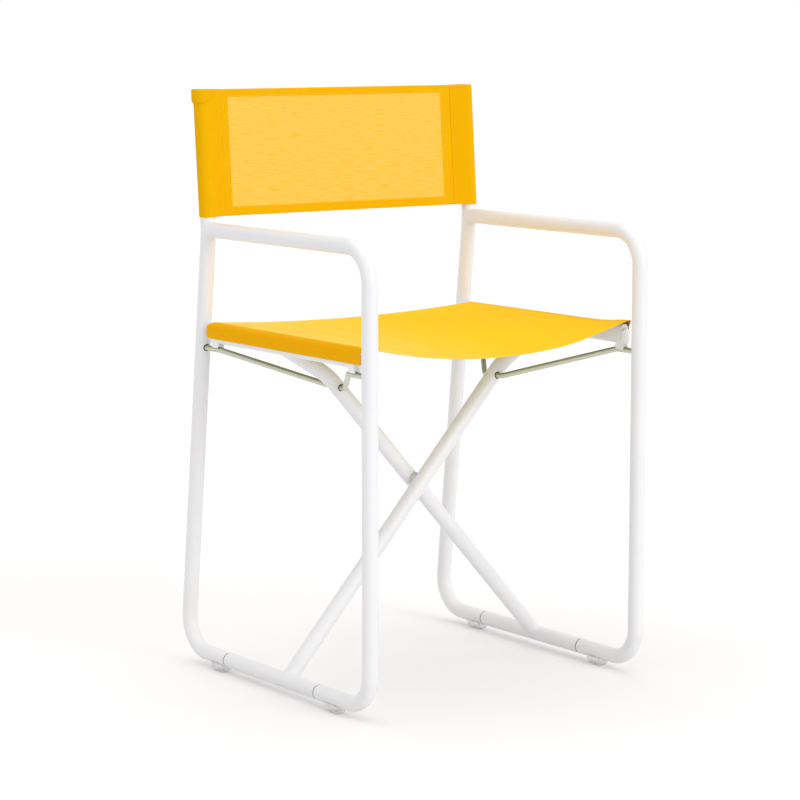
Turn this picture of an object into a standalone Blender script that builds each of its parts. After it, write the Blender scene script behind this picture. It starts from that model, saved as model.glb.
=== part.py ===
"""Folding directors chair: two bent-tube side frames, crossed legs that lift the seat rails as it folds,
wire link rods between the legs and the uprights, and cloth for the seat and the backrest.
Metres, +Z up, the sitter looks towards -Y, origin on the floor under the middle of the chair."""

import math

import bmesh
import bpy
import numpy as np
from mathutils import Matrix, Vector

for old in list(bpy.data.objects):
    bpy.data.objects.remove(old, do_unlink=True)

# Fits
GAP = 0.0003            # clearance between pieces that touch
SHORT = 0.0012          # how far a link rod stops short of the upright it points at

# Side frame, one round tube bent in two lengths
TUBE_R = 0.011
WALL = 0.0012
HALF_W = 0.2325         # frame plane to the middle of the chair
RAIL_Z = 0.0195         # axis of the bottom rail
ARM_Z = 0.635           # axis of the arm
HEEL_BACK = 0.067       # rear upright's run backwards, from the arm down to the bottom rail
BEND_R = 0.048
KINK_R = 0.14
RECLINE = math.radians(4.5)
PLUG_HEAD = 0.0022      # how far the plug in a back post stands out of it
PLUG_DEPTH = 0.014

# Turning sleeve between the two ends of a bottom rail
SEAM_FRONT_Y = -0.076
SEAM_REAR_Y = 0.152
SPIGOT_REACH = 0.030    # how far the inner tube runs into each rail end
WASHER_T = 0.0012

# Crossed legs
PIVOT_Z = 0.278
LEG_FRONT_Y = 0.003
LEG_PITCH = 0.026       # front leg axis to rear leg axis
HOLE_AT = 0.192         # pivot to link rod hole, along the leg
SHIN_L = 0.0932         # from the corner where the leg turns outwards to its end at the seat rail
KNEE_R = 0.115
TOE_SQUEEZE = 0.8       # the leg's end is pressed to this share of its height

# Fasteners at the crossing
BOLT_R = 0.003
HEAD_R = 0.0064
HEAD_H = 0.0036
INSERT_R = 0.0045       # threaded insert in the front leg's rear wall
INSERT_L = 0.0130
COLLAR_R = 0.0058       # its collar, drawn up against the inside of the wall
COLLAR_T = 0.0030
SADDLE_WASHER_R = 0.0100

# Seat rails
SEAT_Z = 0.489
SEAT_HALF_T = 0.0068
SEAT_HALF_H = 0.0140
SEAT_HALF_L = 0.1730
SEAT_BACK_BY = 0.0080   # middle of the rails behind the middle between the uprights
CAP_T = 0.0077          # saddle cap beyond the rail's end
SADDLE_ROOM = 0.0053    # saddle caps to the uprights, were they midway between them
CAP_CORE = 0.014        # how far the cap's core runs into the rail
JAW_T = 0.0010          # outer jaw of the saddle cap, at its lower edge
JAW_TAPER = 0.0060      # height over which the cap's outer side draws in to that jaw
JAW_TAPER_UP = 0.0035   # underside of the rail up to where it starts to draw in
CLOTH_T = 0.0010

# Link rods
ROD_R = 0.004
ROD_BELOW = 0.009       # underside of the seat rail to the rod's axis where it enters the uprights
ROD_END = 0.036         # straight end beside each upright
ROD_MID = 0.020         # straight part each side of the leg
ROD_BEND = 0.012

# Glides
GLIDE_FRONT_Y = -0.115
GLIDE_REAR_Y = 0.172
GLIDE_FLAT = 0.006
GLIDE_DIP = 0.003
GLIDE_GROOVE = 0.0024   # depth of the dips between its bumps
GLIDE_LIP = -0.001      # its upper edge, from the rail's axis
GLIDE_HALF_W = 0.0128

# Cloth
BACK_RISE = 0.007       # top of the arm to the lower edge of the backrest
BACK_H = 0.179
POCKET_TOP = 0.0031     # cloth folded shut over the top of a back post
BORDER = 0.0275         # post axis to the seam of the backrest sleeve
PANEL_T = 0.0014        # seat cloth with its coating and hems
RIM_RISE = 0.0045       # where the seat leaves the round of its rail, above the middle of that round
SAG_FRONT = 0.0222      # rim of the seat to its middle, at the front edge
SAG_REAR = 0.0058       # and at the rear edge
CLOTH_FRONT = 0.0175    # front end of the seat rail to the edge of the cloth
CLOTH_REAR = 0.0075     # and at the rear end

SIDES = 24


def filleted(points, radii, step=math.radians(9.5)):
    """A planar path with rounded corners, as points and unit directions."""
    points = [np.array(p, float) for p in points]
    where, along = [points[0]], [points[1] - points[0]]
    for before, corner, after, radius in zip(points, points[1:], points[2:], radii):
        d1 = (corner - before) / np.linalg.norm(corner - before)
        d2 = (after - corner) / np.linalg.norm(after - corner)
        turn = math.atan2(d1[0] * d2[1] - d1[1] * d2[0], float(d1 @ d2))
        reach = radius * math.tan(abs(turn) / 2)
        normal = np.array([-d1[1], d1[0]]) * math.copysign(1, turn)
        centre = corner - d1 * reach + normal * radius
        for a in np.linspace(0, turn, max(2, math.ceil(abs(turn) / step) + 1)):
            turned = np.array([[math.cos(a), -math.sin(a)], [math.sin(a), math.cos(a)]])
            where.append(centre - turned @ (normal * radius))
            along.append(turned @ d1)
    where.append(points[-1])
    along.append(points[-1] - points[-2])
    along = np.array([d / np.linalg.norm(d) for d in along])
    return np.array(where), along


def rings(path, u_axis, v_axis, origin, radius, sides):
    """Circles around a planar path, as an array of ring, corner, coordinate."""
    where, along = path
    u_axis, v_axis, origin = (np.array(a, float) for a in (u_axis, v_axis, origin))
    side = np.cross(u_axis, v_axis)
    centre = origin + where[:, :1] * u_axis + where[:, 1:] * v_axis
    inplane = -along[:, 1:] * u_axis + along[:, :1] * v_axis
    angle = np.arange(sides) * 2 * math.pi / sides
    return (centre[:, None] + radius * np.cos(angle)[None, :, None] * inplane[:, None]
            + radius * np.sin(angle)[None, :, None] * side)


def trimmed(ring, direction, clearance, reach=0.06):
    """The last ring of a tube, each corner drawn back along the tube until it is clear of a neighbour."""
    low, high = np.zeros(len(ring)), np.full(len(ring), reach)
    inside = clearance(ring) < 0
    for _ in range(40):
        middle = (low + high) / 2
        still = clearance(ring - middle[:, None] * direction) < 0
        low, high = np.where(still, middle, low), np.where(still, high, middle)
    return ring - np.where(inside, high, 0)[:, None] * direction


def clear_of_path(path, u_axis, v_axis, origin, radius):
    """Distance from a tube that follows a path, for trimming another tube against it."""
    where, _ = path
    centre = (np.array(origin, float) + where[:, :1] * np.array(u_axis, float)
              + where[:, 1:] * np.array(v_axis, float))
    start, step = centre[:-1], np.diff(centre, axis=0)

    def distance(points):
        share = np.einsum("psk,sk->ps", points[:, None] - start, step) / (step**2).sum(1)
        near = start + np.clip(share, 0, 1)[..., None] * step
        return np.linalg.norm(points[:, None] - near, axis=2).min(1) - radius
    return distance


def quads(rows, columns, wrap=True):
    """Faces of a grid of points, closed across its columns where wrap is set."""
    row, col = np.meshgrid(np.arange(rows - 1), np.arange(columns - (not wrap)), indexing="ij")
    nxt = (col + 1) % columns
    grid = np.stack([row * columns + col, row * columns + nxt,
                     (row + 1) * columns + nxt, (row + 1) * columns + col], -1)
    return grid.reshape(-1, 4).tolist()


def mesh_of(name, points, faces):
    mesh = bpy.data.meshes.new(name)
    mesh.from_pydata(np.asarray(points).tolist(), [], faces)
    work = bmesh.new()
    work.from_mesh(mesh)
    bmesh.ops.recalc_face_normals(work, faces=work.faces)
    work.to_mesh(mesh)
    work.free()
    return mesh


def loft(name, stack, through=True):
    """A solid skinned over rings: closed round on itself where through is set, else capped at both ends."""
    stack = np.asarray(stack)
    count, sides = stack.shape[:2]
    faces = quads(count, sides)
    if through:
        last = (count - 1) * sides
        faces += [[last + i, last + (i + 1) % sides, (i + 1) % sides, i] for i in range(sides)]
    else:
        faces += [list(range(sides)), list(range((count - 1) * sides, count * sides))]
    return mesh_of(name, stack.reshape(-1, 3), faces)


def tube(name, path, u_axis, v_axis, origin, radius, wall, start=None, end=None, sides=SIDES):
    """A hollow tube along a path; start and end take the last ring of each skin and return it trimmed."""
    skins = []
    for r in (radius, radius - wall):
        skin = rings(path, u_axis, v_axis, origin, r, sides)
        if start:
            skin[0] = start(skin[0])
        if end:
            skin[-1] = end(skin[-1])
        skins.append(skin)
    return loft(name, np.concatenate([skins[0], skins[1][::-1]]))


def bar(name, path, u_axis, v_axis, origin, radius, sides=SIDES):
    return loft(name, rings(path, u_axis, v_axis, origin, radius, sides), through=False)


def turned(name, profile, centre, sides=SIDES, hollow=False):
    """A solid of revolution about Y through centre: profile is radius and y, from one end to the other."""
    angle = np.arange(sides) * 2 * math.pi / sides
    stack = [np.stack([r * np.cos(angle), np.full(sides, y), r * np.sin(angle)], -1) for r, y in profile]
    return loft(name, np.array(stack) + np.array(centre), through=hollow)


def upright_oval(half_t, half_h, count=14):
    """Flat oval in X and Z, upright, as corners in order."""
    angle = np.linspace(0, math.pi, count)
    top = np.stack([half_t * np.cos(angle), half_h - half_t + half_t * np.sin(angle)], -1)
    return np.concatenate([top, -top])


def at_y(outline, ys, centre):
    """Copies of an X and Z outline at stations along Y."""
    cx, cz = centre
    return np.array([np.stack([outline[:, 0] + cx, np.full(len(outline), y), outline[:, 1] + cz], -1)
                     for y in ys])


def place(name, mesh, pivot, colour, rough, metal=0.0, alpha=1.0):
    """The mesh as a named object whose origin is on its joint axis, with its own material."""
    mesh.transform(Matrix.Translation(-Vector(pivot)))
    obj = bpy.data.objects.new(name, mesh)
    obj.location = pivot
    bpy.context.scene.collection.objects.link(obj)
    paint = bpy.data.materials.new(name)
    paint.use_nodes = True
    shader = paint.node_tree.nodes["Principled BSDF"]
    shader.inputs["Base Color"].default_value = (*colour, 1.0)
    shader.inputs["Roughness"].default_value = rough
    shader.inputs["Metallic"].default_value = metal
    shader.inputs["Alpha"].default_value = alpha
    mesh.materials.append(paint)
    return obj


def combine(obj, mesh, operation):
    """Adds or removes the mesh from the object by an exact Boolean with a hidden helper."""
    helper = bpy.data.objects.new(f"{obj.name}_helper_{len(obj.modifiers)}", mesh)
    bpy.context.scene.collection.objects.link(helper)
    helper.hide_render = True
    helper.display_type = "WIRE"
    step = obj.modifiers.new(f"{operation.lower()}_{len(obj.modifiers)}", "BOOLEAN")
    step.operation = operation
    step.solver = "EXACT"
    step.object = helper
    return obj


def drill(obj, centre, y_from, y_to, radius, sides=18):
    return combine(obj, turned("drill", [(radius, y_from), (radius, y_to)], centre, sides), "DIFFERENCE")


WHITE = (0.86, 0.86, 0.85)
NYLON = (0.30, 0.30, 0.31)
ZINC = (0.42, 0.38, 0.20)
GREY = (0.38, 0.38, 0.38)
CLEAR = (0.90, 0.91, 0.92)
YELLOW = (0.93, 0.50, 0.02)

X, Y, Z = (1, 0, 0), (0, 1, 0), (0, 0, 1)

# The uprights stand clear of the saddles on the seat rails
REAR_Y = SEAT_HALF_L + CAP_T + SADDLE_ROOM + TUBE_R
FRONT_Y = -REAR_Y
HEEL_Y = REAR_Y + HEEL_BACK

HEEL_SLANT = math.atan2(HEEL_Y - REAR_Y, ARM_Z - RAIL_Z)
BACK_LOW_Z = ARM_Z + TUBE_R + BACK_RISE
BACK_TOP_Z = BACK_LOW_Z + BACK_H
POCKET_ROOF_Z = BACK_TOP_Z - POCKET_TOP
POST_TOP_Z = POCKET_ROOF_Z - PLUG_HEAD - TUBE_R * math.sin(RECLINE) - GAP
POST_TOP_Y = REAR_Y + (POST_TOP_Z - ARM_Z) * math.tan(RECLINE)


def rear_path(seam):
    corners = [(POST_TOP_Y, POST_TOP_Z), (REAR_Y, ARM_Z), (HEEL_Y, RAIL_Z), (seam, RAIL_Z)]
    return filleted(corners, [KINK_R, BEND_R])


# The chair is moved along Y so that the origin lies under the middle of its length
heel = rings(rear_path(SEAM_REAR_Y), Y, Z, (0, 0, 0), TUBE_R, SIDES)[..., 1].max()
SHIFT = -(heel + FRONT_Y - TUBE_R) / 2
LEG_REAR_Y = LEG_FRONT_Y + LEG_PITCH
SEAT_Y = SHIFT + SEAT_BACK_BY
CLOTH_SPAN = [SEAT_Y - SEAT_HALF_L - CLOTH_FRONT, SEAT_Y + SEAT_HALF_L + CLOTH_REAR]

SEAT_LOW_Z = SEAT_Z - SEAT_HALF_H
ROD_Z = SEAT_LOW_Z - ROD_BELOW

# In X and Z the leg runs straight up to its knee, the point of that line one shin away from the toe, where the
# leg meets the inner side of the rail with its lower edge level with the rail's
LEG_ANGLE = math.atan2(PIVOT_Z - RAIL_Z, HALF_W)
LEG_UP = np.array([math.cos(LEG_ANGLE), math.sin(LEG_ANGLE)])
CROSSING = np.array([0.0, PIVOT_Z])
HOLE = CROSSING + HOLE_AT * LEG_UP
TOE = np.array([HALF_W - SEAT_HALF_T, SEAT_LOW_Z + 1.15 * TOE_SQUEEZE * TUBE_R])
toe_along = float((TOE - CROSSING) @ LEG_UP)
toe_aside = float(np.linalg.norm(TOE - CROSSING - toe_along * LEG_UP))
KNEE = CROSSING + (toe_along - math.sqrt(SHIN_L**2 - toe_aside**2)) * LEG_UP
SEAM_ROOM = GAP + WASHER_T / 2
ORIGIN = (0.0, 0.0, 0.0)
PIVOT = (0.0, SHIFT + LEG_FRONT_Y + LEG_PITCH / 2, PIVOT_Z)


def sleeve_axis(side):
    return (side * HALF_W, SHIFT + (SEAM_FRONT_Y + SEAM_REAR_Y) / 2, RAIL_Z)


def post_y(z):
    return SHIFT + REAR_Y + (z - ARM_Z) * math.tan(RECLINE)


def side_frame(name, side, home):
    """Rear tube, front tube with the arm, inner tube, plug and glides of one side frame."""
    base = (side * HALF_W, SHIFT, 0)
    rear = rear_path(SEAM_REAR_Y + SEAM_ROOM)
    rear_mesh = tube("rear_tube", rear, Y, Z, base, TUBE_R, WALL)
    rear_tube = place(f"{name}_rear_tube", rear_mesh, home, WHITE, 0.32)
    corners = [(SEAM_FRONT_Y - SEAM_ROOM, RAIL_Z), (FRONT_Y, RAIL_Z), (FRONT_Y, ARM_Z), (REAR_Y, ARM_Z)]
    front = filleted(corners, [BEND_R, BEND_R])
    near = clear_of_path(rear, Y, Z, base, TUBE_R + GAP)

    def coped(ring):
        return trimmed(ring, np.array(Y, float), near)

    front_mesh = tube("front_tube", front, Y, Z, base, TUBE_R, WALL, end=coped)
    front_tube = place(f"{name}_front_tube", front_mesh, home, WHITE, 0.32)

    # A hole in each upright faces the link rod's end
    entry = (side * HALF_W, 0, ROD_Z)
    hole = ROD_R + 2 * GAP
    rear_axis, front_axis = SHIFT + REAR_Y + (ARM_Z - ROD_Z) * math.tan(HEEL_SLANT), SHIFT + FRONT_Y
    drill(rear_tube, entry, rear_axis - 2 * TUBE_R, rear_axis, hole)
    drill(front_tube, entry, front_axis, front_axis + 2 * TUBE_R, hole)

    outer, inner = TUBE_R - WALL - GAP, TUBE_R - 2 * WALL - GAP
    y0, y1 = SHIFT + SEAM_FRONT_Y - SPIGOT_REACH, SHIFT + SEAM_REAR_Y + SPIGOT_REACH
    spigot = turned("spigot", [(outer, y0), (outer, y1), (inner, y1), (inner, y0)],
                    (side * HALF_W, 0, RAIL_Z), hollow=True)
    place(f"{name}_inner_tube", spigot, home, WHITE, 0.4)

    stem = TUBE_R - WALL - GAP
    plug = turned("plug", [(stem, -PLUG_DEPTH), (stem, GAP), (TUBE_R, GAP), (TUBE_R, 0.64 * PLUG_HEAD),
                           (0.8 * TUBE_R, PLUG_HEAD)], ORIGIN)
    lean = Matrix.Rotation(math.pi / 2 - RECLINE, 4, "X")
    plug.transform(Matrix.Translation((side * HALF_W, SHIFT + POST_TOP_Y, POST_TOP_Z)) @ lean)
    place(f"{name}_post_plug", plug, home, GREY, 0.5)

    for end, y in (("front", GLIDE_FRONT_Y), ("rear", GLIDE_REAR_Y)):
        place(f"{name}_{end}_glide", glide(side * HALF_W, SHIFT + y), home, CLEAR, 0.12, alpha=0.45)


def glide(x, y):
    """Clear clip under a bottom rail, with three flat-topped bumps to stand on."""
    pitch = GLIDE_FLAT + GLIDE_DIP
    stations, depths = [], []
    for bump in (-1, 0, 1):
        for edge, depth in ((GAP - 0.5 * pitch, RAIL_Z - GLIDE_GROOVE), (-0.5 * GLIDE_FLAT, RAIL_Z),
                            (0.5 * GLIDE_FLAT, RAIL_Z), (0.5 * pitch - GAP, RAIL_Z - GLIDE_GROOVE)):
            stations.append(y + bump * pitch + edge)
            depths.append(depth)
    angle = np.linspace(0, math.pi, 13)
    grip = TUBE_R + GAP
    inner = np.stack([grip * np.cos(angle), GLIDE_LIP - grip * np.sin(angle)], -1)
    half = np.array([(1.0, 0.0), (1.0, 0.30), (0.985, 0.55), (0.93, 0.75), (0.78, 0.93), (0.56, 1.0),
                     (0, 1.0)])
    shape = np.concatenate([half, (half * (-1, 1))[-2::-1]])
    stack = []
    for station, depth in zip(stations, depths):
        outer = np.stack([GLIDE_HALF_W * shape[:, 0], GLIDE_LIP - (depth + GLIDE_LIP) * shape[:, 1]], -1)
        loop = np.concatenate([outer, inner[::-1]])
        stack.append(at_y(loop, [station], (x, RAIL_Z))[0])
    return loft("glide", stack, through=False)


def crossed_leg(name, side, y, home):
    """Leg from a bottom sleeve over the pivot to the other side's seat rail; side is where its top lies."""
    base = (0, SHIFT + y, 0)
    path = filleted([(-HALF_W, RAIL_Z), KNEE, TOE], [KNEE_R])
    rise = np.array([LEG_UP[0], 0, LEG_UP[1]])
    shin = np.array([TOE[0] - KNEE[0], 0, TOE[1] - KNEE[1]]) / SHIN_L
    half = SEAT_HALF_H - SEAT_HALF_T

    def off_sleeve(p):
        return np.hypot(p[:, 0] + HALF_W, p[:, 2] - RAIL_Z) - TUBE_R - GAP

    def off_rail(p):
        dz = p[:, 2] - SEAT_Z
        return np.hypot(p[:, 0] - HALF_W, dz - np.clip(dz, -half, half)) - SEAT_HALF_T - 2 * GAP

    def foot(ring):
        return trimmed(ring, -rise, off_sleeve)

    def head(ring):
        square = ring + ((HALF_W - ring[:, 0]) / shin[0])[:, None] * shin
        middle = TOE[1] + SEAT_HALF_T * shin[2] / shin[0]
        square[:, 2] = middle + TOE_SQUEEZE * (square[:, 2] - middle)
        return trimmed(square, shin, off_rail)

    mesh = tube("leg", path, X, Z, base, TUBE_R, WALL, start=foot, end=head)
    if side < 0:
        mesh.transform(Matrix.Scale(-1, 4, X))
        mesh.flip_normals()
    leg = place(name, mesh, home, WHITE, 0.32)
    if side > 0:
        drill(leg, (0, 0, PIVOT_Z), SHIFT + y, SHIFT + y + 2 * TUBE_R, INSERT_R + GAP)
    else:
        drill(leg, (0, 0, PIVOT_Z), SHIFT + y - 2 * TUBE_R, SHIFT + y + 2 * TUBE_R, BOLT_R + GAP)
    drill(leg, (side * HOLE[0], 0, HOLE[1]), SHIFT + y - 2 * TUBE_R, SHIFT + y + 2 * TUBE_R, ROD_R + GAP)


def turning_sleeve(name, side, home):
    """Sleeve that carries the leg's foot round the bottom rail, with a nylon washer at each end."""
    centre = (side * HALF_W, SHIFT, RAIL_Z)
    y0, y1 = SEAM_FRONT_Y + SEAM_ROOM, SEAM_REAR_Y - SEAM_ROOM
    inner = TUBE_R - WALL
    shell = [(TUBE_R, y0), (TUBE_R, y1), (inner, y1), (inner, y0)]
    place(f"{name}_sleeve", turned("sleeve", shell, centre, hollow=True), home, WHITE, 0.32)
    for end, y in (("front", SEAM_FRONT_Y), ("rear", SEAM_REAR_Y)):
        outer = TUBE_R - GAP
        near, far = y - WASHER_T / 2, y + WASHER_T / 2
        ring = [(outer, near), (outer, far), (inner, far), (inner, near)]
        place(f"{name}_{end}_washer", turned("washer", ring, centre, hollow=True), home, NYLON, 0.55)


def rim_angle():
    """Angle of the round over the rail at which the underside of the seat's rim leaves it, less a little overlap."""
    return math.asin((RIM_RISE - PANEL_T) / (SEAT_HALF_T + GAP + CLOTH_T)) - math.radians(3)


def seat_rail(name, side, home):
    """Flat-oval rail with a moulded cap at each end that sits on the link rod, and cloth folded over it."""
    centre = (side * HALF_W, SEAT_Z)
    outside = upright_oval(SEAT_HALF_T, SEAT_HALF_H)
    inside = upright_oval(SEAT_HALF_T - WALL, SEAT_HALF_H - WALL)
    ends = [SEAT_Y - SEAT_HALF_L, SEAT_Y + SEAT_HALF_L]
    shell = np.concatenate([at_y(outside, ends, centre), at_y(inside, ends[::-1], centre)])
    place(f"{name}_seat_rail", loft("rail", shell), home, WHITE, 0.32)

    # The inner jaw reaches well down the rod; the outer jaw is short and drawn in to pass the arm's bend
    notch = ROD_R + GAP
    rod = ROD_Z - SEAT_Z
    inner_low, outer_low = 0.25 * ROD_R, 0.7 * ROD_R
    bow = np.linspace(math.asin(outer_low / notch), math.pi - math.asin(inner_low / notch), 9)
    arch = np.stack([notch * np.cos(bow), rod + notch * np.sin(bow)], -1)
    jaw_x = arch[0, 0] + JAW_T
    taper_z = JAW_TAPER_UP - SEAT_HALF_H
    crown = upright_oval(SEAT_HALF_T, SEAT_HALF_H)[:14]
    jaw = [(jaw_x, rod + outer_low), (jaw_x, taper_z - JAW_TAPER), (SEAT_HALF_T, taper_z)]
    cap = np.concatenate([crown, [(-SEAT_HALF_T, rod + inner_low)], arch[::-1], jaw]) * (side, 1)
    core = upright_oval(SEAT_HALF_T - WALL - GAP, SEAT_HALF_H - WALL - GAP)
    for end, way in (("front", -1), ("rear", 1)):
        face = SEAT_Y + way * (SEAT_HALF_L + GAP)
        outer = SEAT_Y + way * (SEAT_HALF_L + CAP_T)
        block = loft("cap", at_y(cap, sorted((face, outer)), centre), through=False)
        saddle = place(f"{name}_{end}_saddle", block, home, WHITE, 0.45)
        inner, sunk = SEAT_Y + way * (SEAT_HALF_L - CAP_CORE), face + way * CAP_T / 4
        combine(saddle, loft("core", at_y(core, sorted((inner, sunk)), centre), through=False), "UNION")

    # Cloth folded over the top of the rail, from below the seat's rim to a hem half way down the outer side
    angle = np.linspace(math.pi - rim_angle(), 0, 12)
    strip = []
    for r in (SEAT_HALF_T + GAP + CLOTH_T, SEAT_HALF_T + GAP):
        crown = np.stack([r * np.cos(angle), SEAT_HALF_H - SEAT_HALF_T + r * np.sin(angle)], -1)
        strip.append(np.concatenate([crown, [(r, -0.5 * SEAT_HALF_H)]]) * (side, 1))
    loop = np.concatenate([strip[0], strip[1][::-1]])[::-side]
    cloth = loft("sleeve_cloth", at_y(loop, CLOTH_SPAN, centre), through=False)
    place(f"{name}_seat_sleeve", cloth, home, YELLOW, 0.85)


def link_rod(name, side, y):
    """Wire bail that turns in a leg's hole and reaches forwards and back to the two uprights."""
    hinge = np.array([side * HOLE[0], SHIFT + y, HOLE[1]])
    crank = np.array([side * HALF_W - hinge[0], 0, ROD_Z - HOLE[1]])
    reach = float(np.linalg.norm(crank))
    front = FRONT_Y + TUBE_R + SHORT - y
    upright = REAR_Y + (ARM_Z - ROD_Z - ROD_R) * math.tan(HEEL_SLANT) - TUBE_R / math.cos(HEEL_SLANT)
    rear = upright - SHORT - y
    path = filleted([(front, reach), (front + ROD_END, reach), (-ROD_MID, 0), (ROD_MID, 0),
                     (rear - ROD_END, reach), (rear, reach)], [ROD_BEND] * 4)
    wire = bar("rod", path, Y, crank / reach, hinge, ROD_R, 14)
    place(f"{name}_link_rod", wire, tuple(hinge), ZINC, 0.35, 0.8)


def pivot_parts(front_home, rear_home):
    """Bolt from behind into an insert in the front leg's rear wall, and a saddle washer on each leg."""
    middle = SHIFT + LEG_FRONT_Y + LEG_PITCH / 2
    seat = SHIFT + LEG_REAR_Y + TUBE_R + GAP
    mouth = SHIFT + LEG_FRONT_Y + math.sqrt(TUBE_R**2 - INSERT_R**2)
    foot = mouth - INSERT_L
    bolt = [(BOLT_R, foot), (BOLT_R, seat), (HEAD_R, seat), (0.84 * HEAD_R, seat + 0.67 * HEAD_H),
            (0.47 * HEAD_R, seat + HEAD_H)]
    place("pivot_bolt", turned("bolt", bolt, (0, 0, PIVOT_Z), 18), front_home, ZINC, 0.35, 0.8)
    bore = BOLT_R + GAP
    collar = SHIFT + LEG_FRONT_Y + math.sqrt((TUBE_R - WALL)**2 - COLLAR_R**2) - GAP
    insert = [(INSERT_R, mouth), (INSERT_R, collar), (COLLAR_R, collar), (COLLAR_R, collar - COLLAR_T),
              (INSERT_R, collar - COLLAR_T), (INSERT_R, foot), (bore, foot), (bore, mouth)]
    nut = turned("insert", insert, (0, 0, PIVOT_Z), 18, hollow=True)
    place("pivot_insert", nut, front_home, ZINC, 0.35, 0.8)
    for name, way, y, home in (("front", 1, LEG_FRONT_Y, front_home), ("rear", -1, LEG_REAR_Y, rear_home)):
        near, far = sorted((SHIFT + y, middle - way * GAP / 2))
        ring = [(SADDLE_WASHER_R, near), (SADDLE_WASHER_R, far), (bore, far), (bore, near)]
        washer = place(f"{name}_saddle_washer", turned("saddle", ring, (0, 0, PIVOT_Z), SIDES, hollow=True),
                       home, GREY, 0.5)
        groove = filleted([(-3 * way * SADDLE_WASHER_R, 0), (3 * way * SADDLE_WASHER_R, 0)], [])
        lean = (math.cos(LEG_ANGLE), 0, way * math.sin(LEG_ANGLE))
        bed = bar("groove", groove, lean, Y, (0, SHIFT + y, PIVOT_Z), TUBE_R + GAP)
        combine(washer, bed, "DIFFERENCE")


def backrest_sleeve(name, side, home):
    """Cloth pocket over a back post, closed at the top and drawn in to the seam of the panel."""
    big, tip = TUBE_R + GAP + CLOTH_T, CLOTH_T
    slope = math.acos((big - tip) / BORDER)
    arc = np.linspace(slope, 2 * math.pi - slope, 22)
    nose = np.linspace(-slope, slope, 5)
    body = np.stack([big * np.cos(arc), big * np.sin(arc)], -1)
    point = np.stack([BORDER - tip + tip * np.cos(nose), tip * np.sin(nose)], -1)
    share = np.linspace(0, 1, 7)[1:-1, None]
    loop = np.concatenate([body, body[-1] + (point[0] - body[-1]) * share, point,
                           point[-1] + (body[0] - point[-1]) * share])
    around = np.arctan2(loop[:, 1], loop[:, 0])
    hole = (TUBE_R + GAP) * np.stack([np.cos(around), np.sin(around)], -1)

    def level(outline, z):
        x, y = side * (HALF_W - outline[:, 0]), post_y(z) + outline[:, 1]
        return np.stack([x, y, np.full(len(outline), z)], -1)

    bore = [level(hole, POCKET_ROOF_Z), level(hole, BACK_LOW_Z)]
    stack = bore + [level(loop, BACK_LOW_Z), level(loop, BACK_TOP_Z)]
    place(name, loft("pocket", stack, through=False), home, YELLOW, 0.85)


def backrest_panel(home):
    """Taut cloth between the two sleeves, in the plane of the posts."""
    half_x = HALF_W - BORDER - GAP
    t = 0.7 * CLOTH_T
    stack = []
    for x in np.linspace(-half_x, half_x, 9):
        corners = [(x, post_y(z) + dy, z) for z, dy in
                   ((BACK_LOW_Z, -t), (BACK_TOP_Z, -t), (BACK_TOP_Z, t), (BACK_LOW_Z, t))]
        stack.append(corners)
    place("backrest_panel", loft("panel", stack, through=False), home, YELLOW, 0.85)


def seat_panel(home):
    """Seat cloth hanging between the rails, in a deeper curve at the front than at the back."""
    round_r = SEAT_HALF_T + GAP + CLOTH_T
    half_x = HALF_W - GAP - math.sqrt(round_r**2 - (RIM_RISE - PANEL_T)**2)
    rim = SEAT_Z + SEAT_HALF_H - SEAT_HALF_T + RIM_RISE
    xs = np.linspace(-half_x, half_x, 33)
    hang = 1 - np.abs(xs / half_x) ** 2.2
    y0, y1 = CLOTH_SPAN
    stack = [[(x, y0, front - PANEL_T), (x, y0, front), (x, y1, rear), (x, y1, rear - PANEL_T)]
             for x, front, rear in zip(xs, rim - SAG_FRONT * hang, rim - SAG_REAR * hang)]
    place("seat_panel", loft("seat", stack, through=False), home, YELLOW, 0.85)


left_home, right_home = sleeve_axis(-1), sleeve_axis(1)
side_frame("left", -1, ORIGIN)
side_frame("right", 1, right_home)
crossed_leg("front_leg", 1, LEG_FRONT_Y, left_home)
turning_sleeve("left", -1, left_home)
seat_rail("right", 1, left_home)
crossed_leg("rear_leg", -1, LEG_REAR_Y, PIVOT)
turning_sleeve("right", 1, PIVOT)
seat_rail("left", -1, PIVOT)
pivot_parts(left_home, PIVOT)
link_rod("left", -1, LEG_REAR_Y)
link_rod("right", 1, LEG_FRONT_Y)
backrest_sleeve("left_backrest_sleeve", -1, ORIGIN)
backrest_sleeve("right_backrest_sleeve", 1, right_home)
backrest_panel(ORIGIN)
seat_panel(left_home)
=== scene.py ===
"""Looks of a folding directors chair: white powder-coated tube, zinc-plated link rods and yellow mesh cloth.

Every piece is worked out on numpy grids in the chair's own frame, in metres: +Z up, the sitter looks
towards -Y, and the origin lies on the floor under the middle of the chair.
"""

import logging
import math
from dataclasses import dataclass, field
from enum import Enum
from functools import partial
from typing import Any, Callable

import bmesh
import bpy
import numpy as np
from mathutils import Matrix, Vector


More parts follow.
